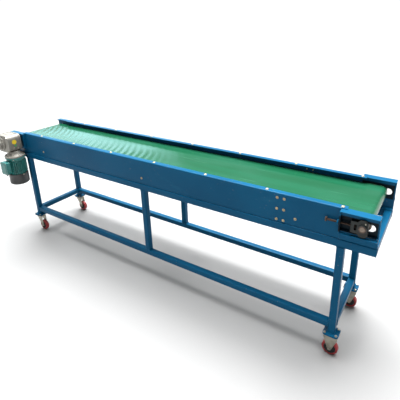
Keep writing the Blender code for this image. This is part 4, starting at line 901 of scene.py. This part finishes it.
BOLT_FROM_TAIL = 180 * MM
BOLT_PITCH = 404 * MM
CLUSTER = [(back, drop) for back in (106 * MM, 66 * MM) for drop in (27 * MM, 92 * MM, 156 * MM)]
for side, sign in SIDES.items():
    lip_y = web[side] - sign * LIP_WIDTH / 2
    rows = frame_tail - BOLT_FROM_TAIL - BOLT_PITCH * np.arange(7)
    bolts = [round_bolt((x, lip_y, panel_top), "Z", 1, height=3.3 * MM) for x in rows]
    bolts += [
        round_bolt((x, web[side], panel_top - 128 * MM), "Y", sign, 6.5 * MM, 3.2 * MM) for x in return_x
    ]
    spots = [(return_x[2] - back, panel_top - drop) for back, drop in CLUSTER]
    bolts += [round_bolt((x, web[side], z), "Y", sign, 6.5 * MM, 3.2 * MM) for x, z in spots]
    make_piece(f"{side}_panel_bolts", bolts, "stand", yellow_zinc)
    nuts = [hexagon_head((x, lip_y, panel_top - PANEL_SHEET), "Z", -1, 13 * MM, 6.5 * MM) for x in rows[1:]]
    inside = web[side] - sign * PANEL_SHEET
    nuts += [hexagon_head((x, inside, z), "Y", -sign, 10 * MM, 5 * MM) for x, z in spots]
    make_piece(f"{side}_panel_nuts", nuts, "stand", grey_zinc)
print(len(bolts), "bolts a side")

# %% [markdown]
# ## Drum, rollers and their bearings
# Turned parts are one profile each, spun round. The corners of the profile are cut by small curves, since a
# real edge always catches a thin line of light.


# %% Rollers and shafts
def roller(node, wall, disc, bore, finish):
    """A tube with a disc inside each end: outside, round the end, along the bore and back inside."""
    low, high = corners(node)
    radius, half = (high[2] - low[2]) / 2, (high[1] - low[1]) / 2
    profile = [
        (bore, -half),
        (radius - wall - 4 * MM, -half),
        (radius - wall - 1 * MM, -half + 1.5 * MM),
        (radius - wall, -half),
        (radius, -half),
        (radius, half),
        (radius - wall, half),
        (radius - wall - 1 * MM, half - 1.5 * MM),
        (radius - wall - 4 * MM, half),
        (bore, half),
        (bore, half - disc),
        (radius - wall, half - disc),
        (radius - wall, disc - half),
        (bore, disc - half),
    ]
    surface = turned(rounded(profile, 0.5 * MM, 2), "Y", middle(node), 96, closed=True)
    body = frame["nodes"][node]["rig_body"]
    return make_piece(f"{node}_turned", [surface], body, finish, replaces=[node])


def shaft(node, axis, finish):
    """A rod with chamfered ends and a centre-drill cone in each: radius against length, spun once."""
    low, high = corners(node)
    along = "XYZ".index(axis)
    radius, half = (high - low)[(along + 1) % 3] / 2, (high - low)[along] / 2
    chamfer, drill = 0.1 * radius, 0.22 * radius
    end = [(0, half - 1.6 * drill), (drill, half), (radius - chamfer, half), (radius, half - chamfer)]
    profile = end + [(r, -h) for r, h in end[::-1]]
    body = frame["nodes"][node]["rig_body"]
    surface = turned(profile, axis, middle(node), 56)
    return make_piece(f"{node}_turned", [surface], body, finish, replaces=[node])


for node in ("head_drum", "tail_roller"):
    roller(node, 4 * MM, 8 * MM, 12.8 * MM, shaft_steel)
for place in ("head", "middle", "tail"):
    roller(f"{place}_return_roller", 2.5 * MM, 6 * MM, 6.3 * MM, grey_zinc)
    shaft(f"{place}_return_axle", "Y", shaft_steel)
for node in ("drive_shaft", "tail_shaft"):
    shaft(node, "Y", shaft_steel)
trimmed_copy("slider_bed", bed_steel, bevel=0.5 * MM)
print("five rollers, five shafts, one bed")

# %% [markdown]
# The head shaft runs in a square cast bearing on each bracket: a plate with rounded corners, a boss that
# rises from it in a fillet, a ground ring and four bolts.


# %% Head bearings
NIPPLE = [(0, 0), (3.4, 0), (3.4, 2), (2.2, 2.6), (2.2, 4.5), (3, 5.3), (2.4, 7), (0, 7.6)]


def flange_bearing(side, sign):
    """Plate outline extruded along Y, and a boss whose foot flares by a quarter circle."""
    node = f"{side}_head_bearing"
    low, high = corners(node)
    face = high[1] if sign < 0 else low[1]
    x, _, z = middle(node)
    size, reach, plate = high[0] - low[0], high[1] - low[1], 6 * MM
    outline = box_outline(size, size, 26 * MM, 8, (z, x))
    levels = sorted((face, face + sign * plate))
    base = extruded(outline, "Y", *levels)
    t = np.linspace(0, np.pi / 2, 7)
    flare = np.stack([30 * MM + 7 * MM * (1 - np.sin(t)), plate + 7 * MM * (1 - np.cos(t)) - 0.5 * MM], -1)
    crown = [(30 * MM, reach - 2 * MM), (28 * MM, reach), (20 * MM, reach), (19 * MM, reach - 2.5 * MM)]
    foot = [(14 * MM, reach - 2.5 * MM), (14 * MM, 1 * MM), (37 * MM, 1 * MM)]
    boss = turned(np.concatenate([flare, crown, foot]) * (1, sign), "Y", (x, face, z), 72, closed=True)
    make_piece(f"{node}_casting", [base, boss], "stand", bearing_iron, bevel=1.0 * MM, replaces=[node])
    ring = [(12.8, 18), (17, 18), (17, reach / MM + 1.5), (16.4, reach / MM + 2), (12.8, reach / MM + 2)]
    inner = turned(np.array(ring) * (MM, sign * MM), "Y", (x, face, z), 56, closed=True)
    make_piece(f"{node}_inner_ring", [inner], "head_drive", shaft_steel)
    corner = size / 2 - 13 * MM
    heads = [
        hexagon_head(
            (x + a * corner, face + sign * plate, z + b * corner), "Y", sign, 13 * MM, 5.5 * MM, 1.5 * MM
        )
        for a in (-1, 1)
        for b in (-1, 1)
    ]
    make_piece(f"{node}_bolts", heads, "stand", yellow_zinc)
    nipple_at = (x, face + sign * 15 * MM, z + 29 * MM)
    nipple = turned(np.array(NIPPLE) * MM, "Z", nipple_at, 20)
    make_piece(f"{node}_grease_nipple", [nipple], "stand", grey_zinc)


for side, sign in SIDES.items():
    flange_bearing(side, sign)
print("two flange bearings")

# %% [markdown]
# ## Belt take-up
# The tail shaft's cast housings slide between guide bars, drawn out by long bolts. The housing keeps the
# engineering shape, with its edges broken. The bearing's inner ring turns with the shaft.

# %% Take-up housings
for side, sign in SIDES.items():
    node = f"{side}_takeup_bearing"
    trimmed_copy(node, bearing_iron, bevel=1.1 * MM)
    low, high = corners(node)
    x, z = pivot("tail_spin")[[0, 2]]
    outer = low[1] if sign < 0 else high[1]
    seat = [(16.9, -0.5), (21.4, -0.5), (21.4, 0.9), (20.8, 1.4), (17.5, 1.4), (16.9, 0.7)]
    seal = turned(np.array(seat) * (MM, sign * MM), "Y", (x, outer, z), 56, closed=True)
    make_piece(f"{node}_seal_ring", [seal], "takeup", black_moulding)
    ring = [(12.6, -3), (16.6, -3), (16.6, 1.7), (16.1, 2.2), (12.6, 2.2)]
    inner = turned(np.array(ring) * (MM, sign * MM), "Y", (x, outer, z), 56, closed=True)
    make_piece(f"{node}_inner_ring", [inner], "tail_drum", bolt_steel)
    places = [(x + 14.4 * MM * a, outer + sign * 2.2 * MM, z) for a in (-1, 1)]
    screws = [socket_screw(place, "Y", sign, 1.6 * MM, 0.6 * MM) for place in places]
    make_piece(f"{side}_ring_screws", screws, "tail_drum", shaft_steel)
    cap_at = (x + 12 * MM, outer - sign * 5 * MM, z + 31 * MM)
    profile = np.array(NIPPLE) * (MM, sign * MM)
    make_piece(f"{node}_grease_nipple", [turned(profile, "Y", cap_at, 20)], "takeup", grey_zinc)
print("two take-up housings")

# %% [markdown]
# A thread is a rod whose radius falls and rises in a zigzag along the axis, and the zigzag starts a little
# later with each degree round. After a full turn it has moved on by one pitch, which makes it a helix.


# %% Take-up bolts
STEPS_PER_TURN = 6


def thread(radius, pitch, depth, axis, low, high, centre):
    """Radius R - depth x triangle(h / pitch - t / full turn), on a grid of length by angle."""
    rows, columns = int((high - low) / pitch * STEPS_PER_TURN) + 1, 20
    h = np.linspace(low, high, rows)[:, None]
    t = np.linspace(0, 2 * np.pi, columns, endpoint=False)[None]
    phase = (h / pitch - t / (2 * np.pi)) % 1
    run_out = np.clip(np.minimum(h - low, high - h) / pitch, 0, 1)
    r = radius - depth * (1 - np.abs(2 * phase - 1)) * run_out
    local = np.stack([r * np.cos(t), r * np.sin(t), h + 0 * t], -1).reshape(-1, 3)
    ring = np.arange(columns)
    caps = [ring, ring + columns * (rows - 1)]
    return local @ AXES[axis] + centre, grid_faces(rows, columns, False, True), caps


for side in SIDES:
    node = f"{side}_takeup_bolt"
    low, high = corners(node)
    _, y, z = middle(node)
    under_head = low[0] + 8 * MM
    rod = thread(5.95 * MM, 1.75 * MM, 0.95 * MM, "X", under_head - 0.5 * MM, high[0], (0, y, z))
    head = hexagon_head((under_head, y, z), "X", -1, high[1] - low[1], 8 * MM)
    make_piece(f"{node}_threaded", [rod, head], f"{side}_bolt", bolt_steel, sharp=25, replaces=[node])
print("two threaded bolts")

# %% [markdown]
# ## Worm gearbox
# The housing is a casting, so nothing on it is quite sharp: a rounded block bored for the gear, two rims
# that stand out round its faces, ribs between them, and a cone that widens to the motor's flange.

# %% Gearbox housing
worm_x, worm_y = pivot("motor_spin")[:2]
shaft_x = pivot("head_spin")[0]
box_low, box_high = corners("gearbox_housing")
cover_low, cover_high = corners("gearbox_cover")
flange_radius = box_high[0] - worm_x
house_top = box_high[2]
house_bottom = 2 * shaft_z - house_top
outer_face = cover_high[1] + LAP_GAP
HOUSE_WIDTH = 112 * MM
HOUSE_CORNER = 44 * MM
RIM = 12 * MM
WHEEL_BORE = 50.4 * MM
inner_face = outer_face + HOUSE_WIDTH
house_back, house_front = shaft_x - 72 * MM, worm_x + 40 * MM


def house_outline(shrink):
    """The housing seen along the shaft, (z, x), drawn in by some distance all round."""
    width, height = house_top - house_bottom - 2 * shrink, house_front - house_back - 2 * shrink
    return box_outline(width, height, HOUSE_CORNER - shrink, 12, (shaft_z, (house_front + house_back) / 2))


edge = house_outline(0)
turn_start = math.atan2(*(edge[0] - (shaft_z, shaft_x))[::-1])
angles = turn_start + np.linspace(0, 2 * np.pi, len(edge), endpoint=False)
wheel_bore = WHEEL_BORE * np.stack([np.cos(angles), np.sin(angles)], -1) + (shaft_z, shaft_x)
waist = pipe(house_outline(3 * MM), wheel_bore, "Y", outer_face + RIM - 1 * MM, inner_face - RIM + 1 * MM)
outer_rim = pipe(edge, wheel_bore, "Y", outer_face, outer_face + RIM)
inner_rim = extruded(edge, "Y", inner_face - RIM, inner_face)
rims = [waist, outer_rim, inner_rim]
make_piece("gearbox_rims", rims, "stand", grey_casting, bevel=1.8 * MM, replaces=["gearbox_housing"])

cone_top, flange_low = house_bottom + 4 * MM, box_low[2]
cone = [
    (25.5, cone_top / MM),
    (43, cone_top / MM),
    (46, house_bottom / MM - 6),
    (52, flange_low / MM + 26),
    (61, flange_low / MM + 17),
    (66, flange_low / MM + 13),
    (flange_radius / MM, flange_low / MM + 12),
    (flange_radius / MM, flange_low / MM),
    (25.5, flange_low / MM),
]
neck = turned(rounded(np.array(cone) * MM, 2.2 * MM, 4), "Z", (worm_x, worm_y, 0), 96, closed=True)
make_piece("gearbox_neck_casting", [neck], "stand", grey_casting, sharp=50)


def radial_rib(line, half_width, angle, axis, centre, side=1):
    """A flat rib of outline (radius r, height h) and half width w, turned by an angle a about an axis:
    (r cos a - w sin a, r sin a + w cos a, side h)."""
    points, faces, caps = extruded(line, "Z", -half_width, half_width)
    radius, height, width = points.T
    first = radius * np.cos(angle) - width * np.sin(angle)
    second = radius * np.sin(angle) + width * np.cos(angle)
    return np.stack([first, second, side * height], -1) @ AXES[axis] + centre, faces, caps


rib_line = [(40, house_bottom / MM - 2), (78, flange_low / MM + 11), (40, flange_low / MM + 11)]
neck_at = (worm_x, worm_y, 0)
ribs = [radial_rib(np.array(rib_line) * MM, 2.2 * MM, a, "Z", neck_at) for a in np.arange(8) * np.pi / 4]
middle_y = (outer_face + inner_face) / 2
square = np.array([(-1, -1), (1, -1), (1, 1), (-1, 1)])
for z in (shaft_z - 34 * MM, shaft_z + 34 * MM):
    outline = square * (3 * MM, 2.75 * MM) + (z, house_back + 3.25 * MM)
    ribs.append(extruded(outline, "Y", outer_face + 4 * MM, inner_face - 4 * MM))
for x in (shaft_x - 44 * MM, shaft_x + 4 * MM, shaft_x + 52 * MM):
    outline = box_outline(6 * MM, 5 * MM, 1 * MM, 2, (x, house_top - 3 * MM))
    ribs.append(extruded(outline[:, ::-1], "Y", outer_face + 4 * MM, inner_face - 4 * MM))
make_piece("gearbox_ribs", ribs, "stand", grey_casting, bevel=0.9 * MM)
print("gearbox", round(inner_face - outer_face, 3), "m wide")

# %% [markdown]
# A round cover closes the outer face. Its hub holds the shaft's bearing and carries short ribs out to the
# bolt circle. The inner face has a shorter hub, and four bolts go through to the bracket.

# %% Covers, hubs and bolts
reach = cover_high[1] - cover_low[1]
hub_height = reach / MM
cover_rim = [(12.8, 0), (55, 0), (55, 7), (52.5, 9), (40, 9), (36, 10.5), (33, 14)]
cover_hub = [(30.5, -3), (28, 0), (19.5, 0), (18.5, -3.5), (12.8, -3.5)]
cover_profile = np.array(cover_rim + [(r, hub_height + h) for r, h in cover_hub]) * (MM, -MM)
cover_at = (shaft_x, cover_high[1], shaft_z)
cover = turned(rounded(cover_profile, 1.0 * MM, 3), "Y", cover_at, 96, closed=True)
spoke = np.array([(29, 8), (29, hub_height - 5), (33, hub_height - 8), (50, 10.5), (50, 8)]) * MM
spokes = [radial_rib(spoke, 2 * MM, a, "Y", cover_at, -1) for a in np.radians(np.arange(6) * 60 + 30)]
looks = {"bevel": 0.6 * MM, "sharp": 40, "replaces": ["gearbox_cover"]}
make_piece("gearbox_cover_casting", [cover, *spokes], "stand", grey_casting, **looks)
BOLT_CIRCLE = 46 * MM
screws = []
for a in np.radians(np.arange(6) * 60):
    x, z = shaft_x + BOLT_CIRCLE * math.sin(a), shaft_z + BOLT_CIRCLE * math.cos(a)
    screws.append(socket_screw((x, cover_high[1] - 8.6 * MM, z), "Y", -1))
make_piece("gearbox_cover_screws", screws, "stand", grey_zinc)
inner_hub = [(12.8, -3), (30, -3), (30, 3.6), (28.5, 4), (20, 4), (19.5, 2.5), (12.8, 2.5)]
hub = turned(np.array(inner_hub) * MM, "Y", (shaft_x, inner_face, shaft_z), 72, closed=True)
make_piece("gearbox_inner_hub", [hub], "stand", grey_casting, bevel=0.4 * MM)
INSET = 16 * MM
lugs = [
    hexagon_head((x, outer_face, z), "Y", -1, 13 * MM, 6 * MM, 1.2 * MM)
    for x in (house_back + INSET, house_front - INSET)
    for z in (house_top - INSET, house_bottom + INSET)
]
make_piece("gearbox_corner_bolts", lugs, "stand", grey_zinc)

# %% [markdown]
# Small fittings finish the gearbox: two plugs on the front face, where a blank yellow disc and a green one
# sit too, and four bolts that clamp the motor's flange.

# %% Plugs and flange bolts
front = house_front - 3 * MM
plug = [(0, -1), (10.5, -1), (10.5, 1.2), (8.2, 1.6), (8.2, 5), (7.4, 5.8), (3.2, 5.8), (3.2, 3), (0, 3)]
places = [(front, middle_y + a * MM, shaft_z + b * MM) for a, b in ((-14, -40), (24, -46))]
plugs = [turned(np.array(plug) * MM, "X", place, 36) for place in places]
make_piece("gearbox_plugs", plugs, "stand", grey_zinc)
disc = [(0, 0), (19, 0), (19, 0.9), (18.2, 1.3), (16.8, 1.3), (16.4, 0.9), (0, 0.9)]
yellow = turned(np.array(disc) * MM, "X", (front + 0.05 * MM, middle_y - 4 * MM, shaft_z + 14 * MM), 48)
make_piece("gearbox_yellow_disc", [yellow], "stand", yellow_disc)
small = np.array(disc) * (0.42 * MM, MM)
green = turned(small, "X", (front + 0.05 * MM, middle_y + 2 * MM, shaft_z - 17 * MM), 36)
make_piece("gearbox_green_disc", [green], "stand", green_disc)
FLANGE_BOLT_CIRCLE = 70.5 * MM
flange_bolts, motor_top = [], corners("motor_frame")[1][2]
for a in np.radians((45, 135, 225, 315)):
    x, y = worm_x + FLANGE_BOLT_CIRCLE * math.cos(a), worm_y + FLANGE_BOLT_CIRCLE * math.sin(a)
    flange_bolts.append(hexagon_head((x, y, flange_low + 12 * MM), "Z", 1, 11 * MM, 5.5 * MM, 1.2 * MM))
    flange_bolts.append(hexagon_head((x, y, motor_top - 11 * MM), "Z", -1, 11 * MM, 6 * MM, 1.2 * MM))
make_piece("motor_flange_bolts", flange_bolts, "stand", grey_zinc)
trimmed_copy("worm_wheel", gear_bronze, bevel=0.3 * MM)
trimmed_copy("worm_and_rotor", rotor_steel, bevel=0.3 * MM)
print(len(flange_bolts), "flange bolts and nuts")

# %% [markdown]
# ## Motor
# The barrel's outline is one curve: a circle whose radius rises into a thin fin every thirteen degrees.
# The rise is a power of a cosine, which gives fins with round tips that widen into the barrel.

# %% Finned barrel
motor_low, motor_high = corners("motor_frame")
BARREL_RADIUS = 66 * MM
FIN_HEIGHT = 12.5 * MM
FINS = 28
OUTLINE_POINTS = 1400
motor_at = (worm_x, worm_y, 0)
fan_low, fan_high = corners("fan_cover")


def finned_outline(core):
    """Radius core + fin height x |cos(number of fins x t / 2)|^9, measured round the barrel."""
    t = np.linspace(0, 2 * np.pi, OUTLINE_POINTS, endpoint=False)
    r = core + FIN_HEIGHT * np.abs(np.cos(FINS * t / 2 + np.pi / 2)) ** 9
    return np.stack([r * np.cos(t), r * np.sin(t)], -1)


def finned_barrel():
    """The outline carried up the axis; its fins fade out near both ends by a smooth step of the height."""
    bottom, top = motor_low[2], motor_high[2]
    lower_fade = np.linspace(bottom + 17 * MM, bottom + 22 * MM, 4)
    upper_fade = np.linspace(top - 34 * MM, top - 29 * MM, 4)
    h = np.concatenate([[bottom + 12 * MM], lower_fade, upper_fade, [top - 10 * MM]])
    inside = np.clip(np.minimum(h - bottom - 17 * MM, top - 29 * MM - h) / (5 * MM), 0, 1)
    share = (inside**2 * (3 - 2 * inside))[:, None, None]
    smooth = circle_outline(BARREL_RADIUS, OUTLINE_POINTS)[None]
    rings = smooth + (finned_outline(BARREL_RADIUS - 0.5 * MM)[None] - smooth) * share
    levels = np.broadcast_to(h[:, None, None], (*rings.shape[:2], 1))
    local = np.concatenate([rings, levels], -1).reshape(-1, 3)
    return local + motor_at, grid_faces(len(h), OUTLINE_POINTS), []


bell = [(9.8, 0), (79.5, 0), (80, 0.5), (80, 10), (79, 11), (71, 11), (67, 14), (66, 20)]
bell += [(59, 20), (59, 11), (9.8, 11)]
shield = turned(np.array(bell) * (MM, -MM) + (0, motor_high[2]), "Z", motor_at, 112, closed=True)
foot = [(59, 0), (66, 0), (66, 14), (59, 14)]
spigot = turned(np.array(foot) * MM + (0, motor_low[2]), "Z", motor_at, 112, closed=True)
barrel = [finned_barrel(), shield, spigot]
make_piece("motor_finned_barrel", barrel, "stand", motor_enamel, sharp=45, replaces=["motor_frame"])

# %% [markdown]
# The terminal box is die cast, with a lid held by four screws and a gland for a cable.

# %% Terminal box
term_low, term_high = corners("terminal_box")
body_low = term_high[2] - 108 * MM
size_x, size_z = term_high[0] - term_low[0], term_high[2] - body_low
box_middle = ((term_high[2] + body_low) / 2, (term_low[0] + term_high[0]) / 2)


def box_slab(shrink, corner, low, high):
    """A rounded slab of the box, smaller by shrink, between two depths behind the lid's front."""
    outline = box_outline(size_z - shrink, size_x - shrink, corner, 6, box_middle)
    return extruded(outline, "Y", term_low[1] + low, term_low[1] + high)


case = box_slab(5 * MM, 12 * MM, 10 * MM, term_high[1] - term_low[1])
lid = box_slab(0, 13 * MM, 2.2 * MM, 9.6 * MM)
raised = box_slab(26 * MM, 10 * MM, 0.2 * MM, 3 * MM)
make_piece(
    "terminal_box_case", [case, lid, raised], "stand", motor_enamel, bevel=1.2 * MM,
    replaces=["terminal_box"]
)
out_x, out_z = size_x / 2 - 8 * MM, size_z / 2 - 8 * MM
ears = [(box_middle[1] + a * out_x, box_middle[0] + b * out_z) for a in (-1, 1) for b in (-1, 1)]
lid_face = term_low[1] + 2.2 * MM
screws = [socket_screw((x, lid_face, z), "Y", -1, 3.2 * MM, 2.0 * MM) for x, z in ears]
make_piece("terminal_box_screws", screws, "stand", grey_zinc)
gland_at = (box_middle[1], (term_low[1] + term_high[1]) / 2, body_low)
dome = np.linspace(0, np.pi / 2, 6)
gland = [(4, 1), (9.6, 1), (9.6, -2), (8.4, -2.2), (8.4, -7)]
gland_cap = [(8.4 - 3.2 * (1 - math.cos(a)), -7 - 8.5 * math.sin(a)) for a in dome]
gland_shape = turned(np.array(gland + gland_cap + [(4, -15), (4, -6)]) * MM, "Z", gland_at, 36, closed=True)
nut = hexagon_head(tuple(np.array(gland_at) - (0, 0, 2 * MM)), "Z", -1, 17 * MM, 4 * MM)
make_piece("terminal_box_gland", [gland_shape, nut], "stand", black_moulding)

# %% [markdown]
# The fan cover is pressed steel with a wide round shoulder. Below, rings and spokes make the air inlet's
# grille, and the fan shows behind them.

# %% Fan cover and grille
SHOULDER = 18 * MM
SHEET = 2.5 * MM
WIRE = 1.3 * MM
R, mouth, floor_z = (fan_high[0] - fan_low[0]) / 2, fan_high[2], fan_low[2]
turn = np.linspace(0, np.pi / 2, 10)
outer_curve = np.stack([R - SHOULDER * (1 - np.cos(turn)), floor_z + SHOULDER * (1 - np.sin(turn))], -1)
rolled = np.array([(2.5, 0), (0.4, 0), (0, 0.8), (0, 9), (0.6, 10.5)]) * -MM + (R, mouth)
skirt = [(R - 0.6 * MM, floor_z + 19 * MM)]
floor_line = np.array([(31.5, 0), (30, 1), (30, 2.5)]) * MM + (0, floor_z)
inner_curve = outer_curve[::-1] + (-SHEET, SHEET)
shell_profile = np.concatenate([rolled, skirt, outer_curve, floor_line, inner_curve])
shell = turned(shell_profile, "Z", motor_at, 112, closed=True)
grille_z = floor_z + 1.6 * MM
wires = [circle_outline(WIRE, 8, (r * MM, grille_z)) for r in (6, 12, 18, 24)]
rings = [turned(wire, "Z", motor_at, 48, closed=True) for wire in wires]
bars = []
for a in np.arange(6) * np.pi / 3:
    reaches = np.array([[4], [17], [31]]) * MM
    line = np.array([worm_x, worm_y, grille_z]) + reaches * (math.cos(a), math.sin(a), 0)
    bars.append(carried(circle_outline(WIRE, 8), line, (0, 0, 1), closed=False))
housing = [shell, *rings, *bars]
make_piece("fan_cover_shell", housing, "stand", black_enamel, sharp=40, replaces=["fan_cover"])
trimmed_copy("motor_fan", black_moulding, bevel=0.4 * MM)
screws = [round_bolt((worm_x + s * R, worm_y, mouth - 5 * MM), "X", s, 3.4 * MM, 1.6 * MM) for s in (1, -1)]
make_piece("fan_cover_screws", screws, "stand", grey_zinc)
print("motor and fan cover")

# %% [markdown]
# ## Casters
# Two casters swivel under the head end and two are fixed under the tail. The pressed fork keeps its
# engineering shape with rounded edges. The tread's section is a rounded square, slightly crowned.


# %% Wheels
FLAT_SHARE = 0.72
SHOULDER_DROP = 5.4 * MM
HALF_TREAD = 15 * MM
DISH = [(5.3, 14), (9, 15), (12, 14.6), (12.6, 11), (14, 10), (22, 9.3), (28.3, 10)]
DISH += [(29.9, 13.5), (32.4, 14.2), (33, 13)]
CHEEK = 20.4 * MM


def caster_wheel(place):
    """Tread: radius less 0.5 mm u^2 and the shoulder's drop, u from -1 to 1 across. Hub: a dished profile."""
    tread, hub = f"{place}_wheel_tread", f"{place}_wheel_hub"
    centre = middle(hub)
    radius = centre[2] - 0.02 * MM
    across = np.linspace(-1, 1, 15)
    flank = np.clip(np.abs(across) - FLAT_SHARE, 0, 1) / (1 - FLAT_SHARE)
    crown = radius - 0.5 * MM * across**2 - SHOULDER_DROP * flank**1.6
    outside = np.stack([crown, across * HALF_TREAD], -1)
    bead = [(34.6, 14.6), (33.3, 13.8), (33.3, -13.8), (34.6, -14.6)]
    profile = np.concatenate([outside, np.array(bead) * MM])
    surface = turned(profile, "Y", centre, 96, closed=True)
    make_piece(f"{tread}_moulded", [surface], f"{place}_wheel", red_rubber, sharp=60, replaces=[tread])
    section = DISH + [(r, -h) for r, h in DISH[::-1]]
    hub_surface = turned(np.array(section) * MM, "Y", centre, 72, closed=True)
    make_piece(f"{hub}_moulded", [hub_surface], f"{place}_wheel", black_moulding, sharp=40, replaces=[hub])
    return centre


def small_ribs(place, centre):
    """Eight low ribs across each side of the hub's dish."""
    line = np.array([(11.5, 9), (11.5, 13.6), (28.8, 12.6), (28.8, 9)]) * MM
    angles = np.arange(8) * np.pi / 4
    ribs = [radial_rib(line, 1.1 * MM, a, "Y", centre, side) for a in angles for side in (-1, 1)]
    return make_piece(f"{place}_hub_ribs", ribs, f"{place}_wheel", black_moulding, bevel=0.3 * MM)


def caster(side, end):
    place = f"{side}_{end}"
    centre = caster_wheel(place)
    small_ribs(place, centre)
    fork = f"{place}_fork"
    trimmed_copy(fork, grey_zinc, bevel=0.8 * MM)
    body = frame["nodes"][fork]["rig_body"]
    ends = [
        hexagon_head(centre + (0, s * CHEEK, 0), "Y", s, 13 * MM, 4.4 * MM, 1.2 * MM)
        for s in (-1, 1)
    ]
    make_piece(f"{place}_axle_nuts", ends, body, grey_zinc)
    if end == "head":
        trimmed_copy(f"{place}_swivel_plate", grey_zinc, bevel=0.6 * MM)
    pad = f"{place}_leg"
    low, high = corners(pad)
    x, y = (low + high)[:2] / 2
    spots = [(x + a * 31 * MM, y + b * 28 * MM) for a in (-1, 1) for b in (-1, 1)]
    heads = [
        hexagon_head((u, v, low[2] + PAD_THICKNESS), "Z", 1, 12 * MM, 5.5 * MM, 1.2 * MM) for u, v in spots
    ]
    plate_under = low[2] - 3.4 * MM
    heads += [hexagon_head((u, v, plate_under), "Z", -1, 12 * MM, 5 * MM) for u, v in spots]
    return make_piece(f"{place}_plate_bolts", heads, "stand", grey_zinc)


for side in SIDES:
    for end in ENDS:
        caster(side, end)
print("four casters")
